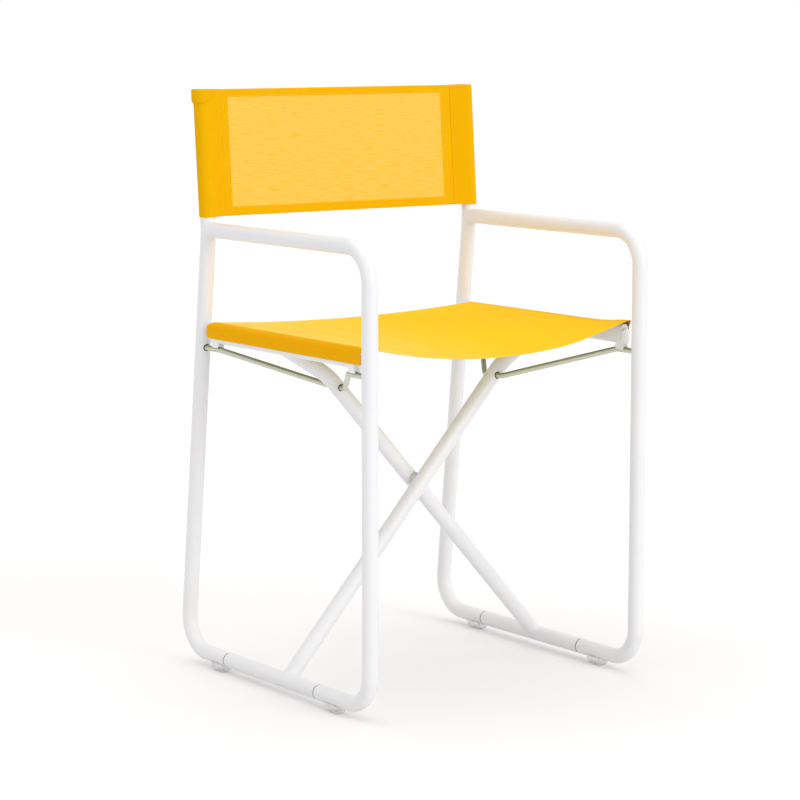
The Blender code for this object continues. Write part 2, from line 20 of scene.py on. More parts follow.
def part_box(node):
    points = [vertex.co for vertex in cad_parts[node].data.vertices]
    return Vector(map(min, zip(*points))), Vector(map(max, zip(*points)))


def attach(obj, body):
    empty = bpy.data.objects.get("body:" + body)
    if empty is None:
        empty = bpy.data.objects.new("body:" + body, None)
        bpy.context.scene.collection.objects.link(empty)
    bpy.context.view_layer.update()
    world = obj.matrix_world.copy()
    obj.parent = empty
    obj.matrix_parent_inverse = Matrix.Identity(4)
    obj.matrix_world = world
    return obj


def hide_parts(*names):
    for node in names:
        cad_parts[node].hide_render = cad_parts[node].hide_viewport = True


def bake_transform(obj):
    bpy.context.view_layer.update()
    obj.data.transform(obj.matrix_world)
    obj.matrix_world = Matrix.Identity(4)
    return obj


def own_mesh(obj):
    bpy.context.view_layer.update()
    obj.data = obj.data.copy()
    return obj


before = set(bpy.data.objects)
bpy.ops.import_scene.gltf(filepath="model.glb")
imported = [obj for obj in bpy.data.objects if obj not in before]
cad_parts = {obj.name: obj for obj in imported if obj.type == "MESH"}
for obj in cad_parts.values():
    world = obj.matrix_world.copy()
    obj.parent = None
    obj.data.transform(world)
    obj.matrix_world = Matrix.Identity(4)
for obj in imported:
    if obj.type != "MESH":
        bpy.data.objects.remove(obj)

Array = np.ndarray
Tree = bpy.types.NodeTree
Socket = bpy.types.NodeSocket
LOG = logging.getLogger("directors_chair")
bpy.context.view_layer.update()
X_AXIS, Y_AXIS, Z_AXIS = np.eye(3)
MM = 0.001
# Least length that a vector is divided by
TINY = 1e-12
# Angles of a quarter round, as it is drawn at every rounded edge
QUARTER = np.linspace(0, math.pi / 2, 5)
# Sockets of a Mix node that mixes colours: the share, the two colours and the result
SHARE, UNDER, OVER, MIXED = 0, 6, 7, 2


class Side(Enum):
    """The two sides of the chair, as the sign of X."""

    LEFT = -1
    RIGHT = 1

    @property
    def word(self) -> str:
        """The side's name in piece, node and body names."""
        return self.name.lower()

    @property
    def frame_body(self) -> str:
        """The body that the side frame rides on."""
        return f"{self.word}_frame"

    @property
    def rail_body(self) -> str:
        """The leg that carries this side's seat rail: each leg rises from the other side."""
        return "rear_leg" if self is Side.LEFT else "front_leg"


class End(Enum):
    """Front and rear, as the sign of Y."""

    FRONT = -1
    REAR = 1

    @property
    def word(self) -> str:
        """The end's name in piece and node names."""
        return self.name.lower()


# Finishes


def linear(hex_code: str) -> tuple[float, float, float, float]:
    """Turns an sRGB hex colour into linear RGBA by the sRGB standard's curve.

    Args:
        hex_code: The colour as #RRGGBB.

    Returns:
        Red, green and blue, and an alpha of 1.
    """
    srgb = np.array([int(hex_code[i:i + 2], 16) for i in (1, 3, 5)]) / 255
    light = np.where(srgb <= 0.04045, srgb / 12.92, ((srgb + 0.055) / 1.055) ** 2.4)
    return (*map(float, light), 1.0)


def feed(tree: Tree, node: bpy.types.Node, feeds: dict[str | int, Any]) -> None:
    """Sets or links a node's inputs.

    Args:
        tree: The node tree.
        node: The node to feed.
        feeds: Input name or index to a plain value, or to another node's output to link.
    """
    for key, value in feeds.items():
        if isinstance(value, Socket):
            tree.links.new(value, node.inputs[key])
        else:
            node.inputs[key].default_value = value


def add_node(tree: Tree, kind: str, feeds: dict[str | int, Any] | None = None,
             **settings: Any) -> bpy.types.Node:
    """Adds a node with its settings, and feeds its inputs.

    Args:
        tree: The node tree to add to.
        kind: The node's type name.
        feeds: What its inputs get.
        **settings: Properties of the node.

    Returns:
        The new node.
    """
    made = tree.nodes.new(kind)
    for name, value in settings.items():
        setattr(made, name, value)
    feed(tree, made, feeds or {})
    return made


def per_metre(size_mm: float) -> float:
    """Noise scale whose features are about that many millimetres across, on coordinates in metres."""
    return 1000.0 / size_mm


def wave_scale(period_mm: float) -> float:
    """Wave texture scale for bands of that period: the texture runs through 20 radians per unit."""
    return 2 * math.pi / (20 * period_mm * MM)


@dataclass(frozen=True)
class Finish:
    """A surface finish: common name, colours as sRGB hex, and how it scatters light."""

    name: str
    colour: str
    second: str
    roughness: float
    metallic: float = 0.0
    ior: float = 1.5
    grain_mm: float = 2.0
    blotch_mm: float = 40.0
    bump_mm: float = 0.02
    rough_swing: float = 0.06
    stretch: tuple[float, float, float] = (1.0, 1.0, 1.0)

    def start(self) -> tuple[bpy.types.Material, Tree, bpy.types.Node]:
        """Makes an empty node material with its shader linked to the output.

        Returns:
            The material, its nodes and its shader.
        """
        paint = bpy.data.materials.new(self.name)
        paint.use_nodes = True
        tree = paint.node_tree
        tree.nodes.clear()
        shader = add_node(tree, "ShaderNodeBsdfPrincipled",
                          {"Metallic": self.metallic, "IOR": self.ior, "Roughness": self.roughness})
        add_node(tree, "ShaderNodeOutputMaterial", {"Surface": shader.outputs[0]})
        return paint, tree, shader

    def uneven(self, tree: Tree, pattern: Socket, way: int = 1) -> Socket:
        """Makes a roughness that swings about its mean with a pattern.

        Args:
            tree: The material's nodes.
            pattern: A pattern from 0 to 1.
            way: 1 where the pattern's high places are rougher, -1 where they are smoother.

        Returns:
            The roughness.
        """
        swing = way * self.rough_swing
        return add_node(tree, "ShaderNodeMapRange", {"Value": pattern, "To Min": self.roughness - swing,
                                                     "To Max": self.roughness + swing}).outputs[0]

    def mottle(self, tree: Tree, shader: bpy.types.Node) -> Socket:
        """Feeds colour, roughness and bump from two noises on Object coordinates.

        Args:
            tree: The material's nodes.
            shader: The shader to feed.

        Returns:
            The colour that was fed.
        """
        place = add_node(tree, "ShaderNodeTexCoord").outputs["Object"]
        laid = add_node(tree, "ShaderNodeMapping", {"Vector": place, "Scale": self.stretch}).outputs[0]
        grain = add_node(tree, "ShaderNodeTexNoise",
                         {"Vector": laid, "Scale": per_metre(self.grain_mm), "Detail": 2.0}).outputs[0]
        blotch = add_node(tree, "ShaderNodeTexNoise",
                          {"Vector": laid, "Scale": per_metre(self.blotch_mm), "Detail": 3.0}).outputs[0]
        colour = add_node(tree, "ShaderNodeMix",
                          {SHARE: blotch, UNDER: linear(self.colour), OVER: linear(self.second)},
                          data_type="RGBA").outputs[MIXED]
        bump = add_node(tree, "ShaderNodeBump",
                        {"Height": grain, "Strength": 1.0, "Distance": self.bump_mm * MM}).outputs[0]
        feed(tree, shader, {"Base Color": colour, "Roughness": self.uneven(tree, blotch), "Normal": bump})
        return colour

    def material(self) -> bpy.types.Material:
        """Builds the node material.

        Returns:
            The material.
        """
        paint, tree, shader = self.start()
        self.mottle(tree, shader)
        return paint


@dataclass(frozen=True)
class WirePlate(Finish):
    """Drawn steel wire with a passivated zinc plate: blotches, and a dark olive band painted on its upper
    side as a reflection of the shaded cloth above.
    """

    # Colour of the painted reflection on the wire's upper side
    upper: str = "#96A084"

    def material(self) -> bpy.types.Material:
        """Builds the node material: a painted reflection lies where the piece's own mark says that a point
        looks up.

        Returns:
            The material.
        """
        paint, tree, shader = self.start()
        body = self.mottle(tree, shader)
        # Share of the painted reflection, from the piece's mark
        top_reflection = add_node(tree, "ShaderNodeAttribute", attribute_name="layers").outputs["Fac"]
        colour = add_node(tree, "ShaderNodeMix", {SHARE: top_reflection, UNDER: body, OVER: linear(self.upper)},
                          data_type="RGBA").outputs[MIXED]
        feed(tree, shader, {"Base Color": colour})
        return paint


@dataclass(frozen=True)
class ClearPlastic(Finish):
    """Clear moulded plastic, thin enough that light passes through; its second colour is that of painted
    glints.
    """

    cover: float = 0.42
    glint_mm: float = 3.2
    glint_from: float = 0.44
    glint_to: float = 0.54

    def material(self) -> bpy.types.Material:
        """Builds the node material: a plain clearness, pale cells painted as glints, a bump for the moulded
        skin.

        Returns:
            The material.
        """
        paint, tree, shader = self.start()
        place = add_node(tree, "ShaderNodeTexCoord").outputs["Object"]
        # Painted glints: pale cells of noise mixed into the colour
        cell = add_node(tree, "ShaderNodeTexNoise",
                        {"Vector": place, "Scale": per_metre(self.glint_mm)}).outputs[0]
        bright = add_node(tree, "ShaderNodeMapRange",
                          {"Value": cell, "From Min": self.glint_from, "From Max": self.glint_to}).outputs[0]
        colour = add_node(tree, "ShaderNodeMix",
                          {SHARE: bright, UNDER: linear(self.colour), OVER: linear(self.second)},
                          data_type="RGBA").outputs[MIXED]
        grain = add_node(tree, "ShaderNodeTexNoise",
                         {"Vector": place, "Scale": per_metre(self.grain_mm)}).outputs[0]
        bump = add_node(tree, "ShaderNodeBump", {"Height": grain, "Distance": self.bump_mm * MM}).outputs[0]
        feed(tree, shader, {"Alpha": self.cover, "Base Color": colour, "Roughness": self.uneven(tree, grain),
                            "Normal": bump})
        return paint


@dataclass(frozen=True)
class MeshCloth(Finish):
    """Coated polyester mesh cloth, woven open, paler where it lies single than where it is doubled."""

    doubled: str = "#F0B600"
    doubled_second: str = "#EAAE00"
    thread_mm: float = 2.4
    relief: float = 0.6
    streak_mm: float = 1.2
    streak_length: float = 18.0
    streak_from: float = 0.32
    streak_to: float = 0.68
    gloss: float = 0.05
    # Colour of a painted sheen: long pale streaks that stand in for light glancing off the cloth
    painted_sheen: str = ""
    painted_sheen_mm: float = 9.0
    painted_sheen_length: float = 12.0
    painted_sheen_from: float = 0.35
    painted_sheen_to: float = 0.65
    painted_sheen_least: float = 0.25
    painted_sheen_most: float = 0.55
    painted_sheen_reach: float = 0.31

    def painted_sheen_streaks(self, tree: Tree, flat: Socket, colour: Socket) -> Socket:
        """Lays long pale streaks of painted sheen along the warp over a colour, fading out away from the
        cloth's left edge.

        Args:
            tree: The material's nodes.
            flat: The cloth's map in metres.
            colour: The colour beneath.

        Returns:
            The streaked colour.
        """
        drawn = add_node(tree, "ShaderNodeMapping",
                         {"Vector": flat, "Scale": (1.0, 1 / self.painted_sheen_length, 1.0)}).outputs[0]
        noise = add_node(tree, "ShaderNodeTexNoise",
                         {"Vector": drawn, "Scale": per_metre(self.painted_sheen_mm), "Detail": 1.0}).outputs[0]
        streak = add_node(tree, "ShaderNodeMapRange",
                          {"Value": noise, "From Min": self.painted_sheen_from, "From Max": self.painted_sheen_to,
                           "To Min": self.painted_sheen_least}).outputs[0]
        across = add_node(tree, "ShaderNodeSeparateXYZ", {0: flat}).outputs[0]
        near = add_node(tree, "ShaderNodeMapRange",
                        {"Value": across, "From Max": self.painted_sheen_reach, "To Min": self.painted_sheen_most,
                         "To Max": 0.0}).outputs[0]
        share = add_node(tree, "ShaderNodeMath", {0: streak, 1: near}, operation="MULTIPLY").outputs[0]
        return add_node(tree, "ShaderNodeMix", {SHARE: share, UNDER: colour, OVER: linear(self.painted_sheen)},
                        data_type="RGBA").outputs[MIXED]

    def colours(self, tree: Tree, flat: Socket, streak: Socket) -> Socket:
        """Works out the cloth's colour: streaked where it lies single, blotched where it is doubled.

        Args:
            tree: The material's nodes.
            flat: The cloth's map in metres.
            streak: The noise of the weft's streaks.

        Returns:
            The colour.
        """
        layers = add_node(tree, "ShaderNodeAttribute", attribute_name="layers").outputs["Fac"]
        spread = add_node(tree, "ShaderNodeMapRange",
                          {"Value": streak, "From Min": self.streak_from,
                           "From Max": self.streak_to}).outputs[0]
        blotch = add_node(tree, "ShaderNodeTexNoise",
                          {"Vector": flat, "Scale": per_metre(self.blotch_mm), "Detail": 2.0}).outputs[0]
        single = add_node(tree, "ShaderNodeMix",
                          {SHARE: spread, UNDER: linear(self.second), OVER: linear(self.colour)},
                          data_type="RGBA").outputs[MIXED]
        # Painted sheen towards the cloth's left edge
        if self.painted_sheen:
            single = self.painted_sheen_streaks(tree, flat, single)
        double = add_node(tree, "ShaderNodeMix",
                          {SHARE: blotch, UNDER: linear(self.doubled), OVER: linear(self.doubled_second)},
                          data_type="RGBA").outputs[MIXED]
        return add_node(tree, "ShaderNodeMix", {SHARE: layers, UNDER: single, OVER: double},
                        data_type="RGBA").outputs[MIXED]

    def material(self) -> bpy.types.Material:
        """Builds the weave on the cloth's own map in metres: weft streaks, and a bump of crossing threads.

        Returns:
            The material.
        """
        paint, tree, shader = self.start()
        flat = add_node(tree, "ShaderNodeUVMap", uv_map="cloth").outputs[0]
        drawn = add_node(tree, "ShaderNodeMapping",
                         {"Vector": flat, "Scale": (1 / self.streak_length, 1.0, 1.0)}).outputs[0]
        streak = add_node(tree, "ShaderNodeTexNoise",
                          {"Vector": drawn, "Scale": per_metre(self.streak_mm), "Detail": 0.5}).outputs[0]
        bands = {"Vector": flat, "Scale": wave_scale(self.thread_mm)}
        weft, warp = (add_node(tree, "ShaderNodeTexWave", bands, bands_direction=way).outputs[1]
                      for way in "YX")
        crossing = add_node(tree, "ShaderNodeMath", {0: weft, 1: warp}, operation="MULTIPLY").outputs[0]
        height = add_node(tree, "ShaderNodeMath", {0: crossing, 1: streak}, operation="ADD").outputs[0]
        bump = add_node(tree, "ShaderNodeBump",
                        {"Height": height, "Strength": self.relief, "Distance": self.bump_mm * MM}).outputs[0]
        feed(tree, shader, {"Base Color": self.colours(tree, flat, streak), "Normal": bump,
                            "Roughness": self.uneven(tree, crossing, -1), "Specular IOR Level": self.gloss})
        return paint


class Paint(Enum):
    """The chair's finishes, each built once."""

    # Polyester powder baked on steel tube: satin, with a faint orange peel drawn coarser than its real 0.6 mm
    COAT = Finish("white_powder_coat", "#EFEFF1", "#EBEBED", 0.36, grain_mm=2.2, blotch_mm=70.0,
                  bump_mm=0.012)
    # Drawn wire, zinc plated and yellow passivated: a soft pale gleam, with a dark olive band painted on the
    # upper side as the reflection of the shaded seat above
    ZINC = WirePlate("yellow_zinc_plate", "#D6D8C8", "#C6C9B2", 0.38, metallic=0.35, grain_mm=0.9,
                     blotch_mm=6.0, bump_mm=0.006, stretch=(1.0, 0.25, 1.0))
    # Moulded nylon washers: dull dark grey
    NYLON = Finish("grey_nylon", "#7C7C7E", "#707072", 0.55, grain_mm=0.8, blotch_mm=5.0, bump_mm=0.01)
    # Moulded acetal spacers at the crossing and plugs in the posts: waxy pale grey
    ACETAL = Finish("grey_acetal", "#D8D9DB", "#CCCDCF", 0.42, ior=1.48, grain_mm=0.8, blotch_mm=6.0,
                    bump_mm=0.01)
    # Moulded polypropylene caps: soft white with a fine spark-eroded grain
    CAP = Finish("white_polypropylene", "#F8F8F7", "#F3F3F2", 0.46, ior=1.49, grain_mm=0.7, blotch_mm=9.0,
                 bump_mm=0.01)
    # Near-black ring at each drilled hole: painted shade of the hole round the rod, in a half-metallic finish
    EDGE = Finish("painted_hole_shade", "#3C3C38", "#2A2A27", 0.5, metallic=0.5, grain_mm=0.5, blotch_mm=2.0,
                  bump_mm=0.01)
    # Clear soft vinyl glides: half seen through, with painted glints as bright specks
    CLEAR = ClearPlastic("clear_vinyl", "#D8D6D4", "#FFFFFF", 0.12, grain_mm=3.0, bump_mm=0.06,
                         rough_swing=0.05)
    # Coated polyester mesh: weft streaks; threads of 0.9 mm are drawn 2.4 mm apart so that they show. Its
    # single layer is painted paler, standing in for the light that shines through the open weave
    CLOTH = MeshCloth("yellow_mesh_cloth", "#F6CC5E", "#F2C146", 0.72, blotch_mm=30.0, bump_mm=0.10)
    # The seat's cloth, the same mesh seen flat on and more closely filled, with pale streaks of painted sheen
    # towards the left
    SEAT = MeshCloth("yellow_seat_cloth", "#FFCE22", "#FCC60E", 0.70, blotch_mm=30.0, bump_mm=0.08,
                     doubled="#F8B400", doubled_second="#F3AE00", painted_sheen="#FFE795")
    # The underside of the seat's cloth, without the coating: pale straw; its dull brown-yellow where doubled
    # is painted shade on the flaps' inner faces and along the cloth's edges
    REVERSE = MeshCloth("yellow_cloth_reverse", "#DCCD9E", "#D4C494", 0.85, blotch_mm=30.0, bump_mm=0.08,
                        doubled="#B98F2A", doubled_second="#B08724")
    # Polyester sewing thread: a little paler than the doubled cloth
    THREAD = Finish("polyester_thread", "#FCCB3C", "#F7C22C", 0.6, grain_mm=0.6, blotch_mm=4.0, bump_mm=0.02)

    @property
    def made(self) -> bpy.types.Material:
        """The finish's material, built when it is first asked for."""
        return bpy.data.materials.get(self.value.name) or self.value.material()


# Surfaces


def unit(vectors: Array) -> Array:
    """Vectors scaled to length 1 along the last axis."""
    return vectors / np.maximum(np.linalg.norm(vectors, axis=-1, keepdims=True), TINY)


def smooth(values: Array | float, low: float, high: float) -> Array:
    """Smooth step from 0 at low to 1 at high: 3t^2 - 2t^3."""
    t = np.clip((np.asarray(values, float) - low) / (high - low), 0, 1)
    return t * t * (3 - 2 * t)


def around(sides: int) -> Array:
    """Angles of points spaced evenly round a full turn."""
    return np.arange(sides) * 2 * math.pi / sides


def lengths(line: Array) -> Array:
    """Lengths along a line of points from its first one: the running sum of its steps."""
    return np.concatenate([[0], np.cumsum(np.linalg.norm(np.diff(line, axis=0), axis=1))])


def merge(*parts: Array | float) -> Array:
    """Points from their coordinates, each spread over the grid of the others."""
    return np.stack(np.broadcast_arrays(*parts), -1)


def cells(rows: int, columns: int, wrap: bool) -> Array:
    """Corner indices of a grid's quads, each from its row and column: row * columns + column.

    Args:
        rows: Rows of points.
        columns: Points in a row.
        wrap: Whether the last column joins the first.

    Returns:
        Four indices for each quad.
    """
    row, col = np.meshgrid(np.arange(rows - 1), np.arange(columns - (not wrap)), indexing="ij")
    after = (col + 1) % columns
    quads = np.stack([row * columns + col, row * columns + after,
                      (row + 1) * columns + after, (row + 1) * columns + col], -1)
    return quads.reshape(-1, 4)


def put(name: str, data: bpy.types.ID) -> bpy.types.Object:
    """Makes an object of a mesh, light or camera and links it to the scene.

    Args:
        name: The object's name.
        data: What it shows.

    Returns:
        The object, at the origin.
    """
    obj = bpy.data.objects.new(name, data)
    bpy.context.scene.collection.objects.link(obj)
    return obj


@dataclass
class Skin:
    """Patches of surface gathered into one mesh, each with its cloth map, layer mark and material."""

    points: list[Array] = field(default_factory=list)
    corners: list[Array] = field(default_factory=list)
    sizes: list[Array] = field(default_factory=list)
    maps: list[Array] = field(default_factory=list)
    marks: list[Array] = field(default_factory=list)
    paints: list[Array] = field(default_factory=list)
    count: int = 0

    @classmethod
    def of(cls, *tubes: Array, closed: bool = False) -> "Skin":
        """Starts a mesh with tubes of rings.

        Args:
            *tubes: Rings of each tube, as ring, corner, coordinate.
            closed: Whether each tube joins round on itself.

        Returns:
            The mesh so far.
        """
        skin = cls()
        for rings in tubes:
            skin.tube(rings, closed)
        return skin

    def patch(self, points: Array, faces: list[Array], flat: Array | None = None, mark: Array | None = None,
              paint: int | list[int] = 0) -> None:
        """Adds points with faces.

        Args:
            points: Points, one row each.
            faces: Arrays of corner indices, one array for each number of corners.
            flat: Place of each point on the flat cloth, in metres.
            mark: Mark of each point: 0 for one layer of cloth and 1 for two, or the share of a wire's painted
                reflection.
            paint: Index of the patch's material, or one for each array of faces.
        """
        points = np.asarray(points, float).reshape(-1, 3)
        kinds = paint if isinstance(paint, list) else [paint] * len(faces)
        for group, kind in zip(faces, kinds):
            self.corners.append(group.ravel() + self.count)
            self.sizes.append(np.full(len(group), group.shape[1]))
            self.paints.append(np.full(len(group), kind))
        self.points.append(points)
        self.maps.append(points[:, :2] if flat is None else np.asarray(flat, float).reshape(-1, 2))
        self.marks.append(np.zeros(len(points)) if mark is None else np.asarray(mark, float).ravel())
        self.count += len(points)

    def tube(self, rings: Array, closed: bool = False, mark: Array | None = None) -> None:
        """Adds rings of points skinned in order.

        Args:
            rings: Points as ring, corner, coordinate.
            closed: Whether the last ring joins the first; otherwise both ends are capped.
            mark: Mark of each point.
        """
        rows, columns = rings.shape[:2]
        faces = [cells(rows, columns, True)]
        ring = np.arange(columns)
        if closed:
            after, last = (ring + 1) % columns, (rows - 1) * columns
            faces.append(np.stack([last + ring, last + after, after, ring], -1))
        else:
            faces.append(np.stack([ring[::-1], (rows - 1) * columns + ring]))
        self.patch(rings, faces, mark=mark)

    def tubes(self, rings: Array, paint: int = 0) -> None:
        """Adds many capped tubes of the same make.

        Args:
            rings: Points as tube, ring, corner, coordinate.
            paint: Index of their material.
        """
        many, rows, columns = rings.shape[:3]
        start = (np.arange(many) * rows * columns)[:, None, None]
        ring = np.arange(columns)
        ends = np.stack([ring[::-1], (rows - 1) * columns + ring])
        self.patch(rings, [(cells(rows, columns, True)[None] + start).reshape(-1, 4),
                           (ends[None] + start).reshape(-1, columns)], paint=paint)

    def shell(self, upper: Array, lower: Array, flat: Array, mark: Array, reverse: int = 0) -> None:
        """Adds a sheet as two matching grids closed along their border.

        Args:
            upper: Grid of points on one face.
            lower: Matching grid on the other face.
            flat: Flat cloth place of each grid point.
            mark: Cloth layers of each grid point.
            reverse: Index of the material of the second face and the edge.
        """
        rows, columns = upper.shape[:2]
        index = np.arange(rows * columns).reshape(rows, columns)
        rim = np.concatenate([index[0, :-1], index[:-1, -1], index[-1, :0:-1], index[:0:-1, 0]])
        after, under = np.roll(rim, -1), rows * columns
        faces = cells(rows, columns, False)
        border = np.stack([after, rim, rim + under, after + under], -1)
        self.patch(np.concatenate([upper.reshape(-1, 3), lower.reshape(-1, 3)]),
                   [faces, faces[:, ::-1] + under, border], np.concatenate([flat.reshape(-1, 2)] * 2),
                   np.concatenate([mark.ravel()] * 2), [0, reverse, reverse])

    def build(self, name: str, paints: list[Paint], sharp: float = 38.0) -> bpy.types.Object:
        """Makes the mesh object, smooth up to an angle, with its faces turned outwards.

        Args:
            name: The piece's name.
            paints: Its materials, in the order of the patches' indices.
            sharp: Edges that turn by more than this many degrees stay sharp.

        Returns:
            The object, at the origin.
        """
        points, corners = np.concatenate(self.points), np.concatenate(self.corners)
        sizes = np.concatenate(self.sizes)
        mesh = bpy.data.meshes.new(name)
        mesh.vertices.add(len(points))
        mesh.vertices.foreach_set("co", points.astype(np.float32).ravel())
        mesh.loops.add(len(corners))
        mesh.loops.foreach_set("vertex_index", corners.astype(np.int32))
        mesh.polygons.add(len(sizes))
        mesh.polygons.foreach_set("loop_start", (np.cumsum(sizes) - sizes).astype(np.int32))
        mesh.polygons.foreach_set("material_index", np.concatenate(self.paints).astype(np.int32))
        mesh.uv_layers.new(name="cloth").data.foreach_set(
            "uv", np.concatenate(self.maps)[corners].astype(np.float32).ravel())
        mesh.attributes.new("layers", "FLOAT", "POINT").data.foreach_set(
            "value", np.concatenate(self.marks).astype(np.float32))
        mesh.update(calc_edges=True)
        mesh.validate()
        work = bmesh.new()
        work.from_mesh(mesh)
        bmesh.ops.recalc_face_normals(work, faces=work.faces)
        work.to_mesh(mesh)
        work.free()
        mesh.shade_smooth()
        mesh.set_sharp_from_angle(angle=math.radians(sharp))
        for paint in paints:
            mesh.materials.append(paint.made)
        LOG.info("%s: %d points, %d faces", name, len(points), len(sizes))
        return put(name, mesh)


@dataclass(frozen=True)
class Run:
    """A tube's middle line in a plane: points and unit directions there, and the plane's axes."""

    where: Array
    along: Array
    u: Array
    v: Array
    origin: Array

    @classmethod
    def through(cls, points: list[Any], radii: list[float], u: Array, v: Array, origin: Array,
                step: float = math.radians(3), fewest: int = 3) -> "Run":
        """Straight lines through points with each corner rounded to an arc of its radius.

        Args:
            points: Corners in the plane, ends included.
            radii: Arc radius of each inner corner.
            u: First axis of the plane.
            v: Second axis of the plane.
            origin: The plane's origin in the chair.
            step: Turn between the stations of an arc.
            fewest: Least number of stations on an arc.

        Returns:
            The middle line.
        """
        spots = [np.array(p, float) for p in points]
        where, along = [spots[0][None]], [unit(spots[1] - spots[0])[None]]
        for before, corner, after, radius in zip(spots, spots[1:], spots[2:], radii):
            d1, d2 = unit(corner - before), unit(after - corner)
            turn = math.atan2(d1[0] * d2[1] - d1[1] * d2[0], float(d1 @ d2))
            normal = np.array([-d1[1], d1[0]]) * math.copysign(1, turn)
            centre = corner - d1 * radius * math.tan(abs(turn) / 2) + normal * radius
            a = np.linspace(0, turn, max(fewest, math.ceil(abs(turn) / step) + 1))[:, None]
            swing = np.cos(a) * normal + np.sin(a) * np.array([-normal[1], normal[0]])
            where.append(centre - radius * swing)
            along.append(np.cos(a) * d1 + np.sin(a) * np.array([-d1[1], d1[0]]))
        where.append(spots[-1][None])
        along.append(unit(spots[-1] - spots[-2])[None])
        return cls(np.concatenate(where), np.concatenate(along), np.asarray(u, float), np.asarray(v, float),
                   np.asarray(origin, float))

    @property
    def centre(self) -> Array:
        """The stations in the chair's frame."""
        return self.origin + self.where[:, :1] * self.u + self.where[:, 1:] * self.v

    @property
    def tangent(self) -> Array:
        """Unit directions in the chair's frame."""
        return self.along[:, :1] * self.u + self.along[:, 1:] * self.v

    def rings(self, radius: float, sides: int = 48, edge: float = 0.0007) -> Array:
        """Circles around the line: centre + r (cos a n + sin a b), with a quarter-round edge at both ends.

        Args:
            radius: Tube radius.
            sides: Points in each circle.
            edge: Radius of the rounding at the ends.

        Returns:
            Points as station, corner, coordinate.
        """
        inset, back = edge * (1 - np.sin(QUARTER)), edge * (1 - np.cos(QUARTER))
        centre, tangent = self.centre, self.tangent
        stations = np.concatenate([centre[0] + back[:, None] * tangent[0], centre[1:-1],
                                   (centre[-1] - back[:, None] * tangent[-1])[::-1]])
        along = np.concatenate([np.repeat(self.along[:1], len(QUARTER), 0), self.along[1:-1],
                                np.repeat(self.along[-1:], len(QUARTER), 0)])
        size = np.concatenate([radius - inset, np.full(len(centre) - 2, radius), (radius - inset)[::-1]])
        inplane = -along[:, 1:] * self.u + along[:, :1] * self.v
        cosine, sine = (wave(around(sides))[None, :, None] for wave in (np.cos, np.sin))
        spoke = cosine * inplane[:, None] + sine * np.cross(self.u, self.v)
        return stations[:, None] + size[:, None, None] * spoke

    def foot(self, points: Array) -> tuple[Array, Array]:
        """Drops each point onto the nearest of the line's straight pieces: start + clip(share, 0, 1) step.

        Args:
            points: Points in the chair, one row each.

        Returns:
            The nearest point of the line to each point, and how far away it is.
        """
        start, step = self.centre[:-1], np.diff(self.centre, axis=0)
        share = np.einsum("psk,sk->ps", points[:, None] - start, step) / (step**2).sum(1)
        near = start + np.clip(share, 0, 1)[..., None] * step
        away = np.linalg.norm(points[:, None] - near, axis=2)
        best = away.argmin(1)
        pick = np.arange(len(points))
        return near[pick, best], away[pick, best]


@dataclass(frozen=True)
class Weld:
    """The soft fillet where a tube is welded to the side of another of the same radius.

    Attributes:
        width: Reach of the fillet along each tube where they meet most squarely.
        sides: Points around the joint.
        steps: Points across the fillet.
        sink: How far its edges lie below the tubes.
        core: How deep its hidden inner edge lies.
        least: Smallest share of the width, where the tubes meet most flatly.
        search: How far back the meeting is looked for, in radii.
        halvings: How often that length is halved.
        upright: Share of Y in a direction above which X helps to find a spoke across it.
    """

    width: float
    sides: int = 64
    steps: int = 9
    sink: float = 0.00006
    core: float = 0.0012
    least: float = 0.04
    search: float = 4.0
    halvings: int = 40
    upright: float = 0.9

    def lay(self, skin: Skin, end: Array, heading: Array, onto: Run, radius: float) -> None:
        """Adds the fillet to a mesh.

        Each line along the joining tube is followed until it meets the other tube. The fillet is a quadratic
        curve from a little before that point to a little along the other tube, drawn towards that point.

        Args:
            skin: The mesh to add to.
            end: A point of the joining tube's axis on the other tube's axis.
            heading: Unit direction of the joining tube towards the other.
            onto: The other tube's middle line.
            radius: Radius of both tubes.
        """
        first = unit(np.cross(heading, Y_AXIS if abs(heading[1]) < self.upright else X_AXIS))
        turn = around(self.sides)[:, None]
        spoke = np.cos(turn) * first + np.sin(turn) * np.cross(heading, first)
        low, high = np.full(self.sides, -self.search * radius), np.zeros(self.sides)
        for _ in range(self.halvings):
            middle = (low + high) / 2
            outside = onto.foot(end + middle[:, None] * heading + radius * spoke)[1] > radius
            low, high = np.where(outside, middle, low), np.where(outside, high, middle)
        corner = end + low[:, None] * heading + radius * spoke
        normal = unit(corner - onto.foot(corner)[0])
        away = spoke - (spoke * normal).sum(1, keepdims=True) * normal
        reach = self.width * np.clip(np.linalg.norm(away, axis=1, keepdims=True), self.least, 1)
        on_arm = corner - reach * heading - self.sink * spoke
        landed = corner + reach * unit(away)
        axis_point = onto.foot(landed)[0]
        on_tube = axis_point + (radius - self.sink) * unit(landed - axis_point)
        t = np.linspace(0, 1, self.steps)[:, None, None]
        sweep = (1 - t) ** 2 * on_arm + 2 * t * (1 - t) * corner + t**2 * on_tube
        core = corner - self.core * normal - self.core * spoke
        skin.tube(np.concatenate([sweep, core[None]]), closed=True)


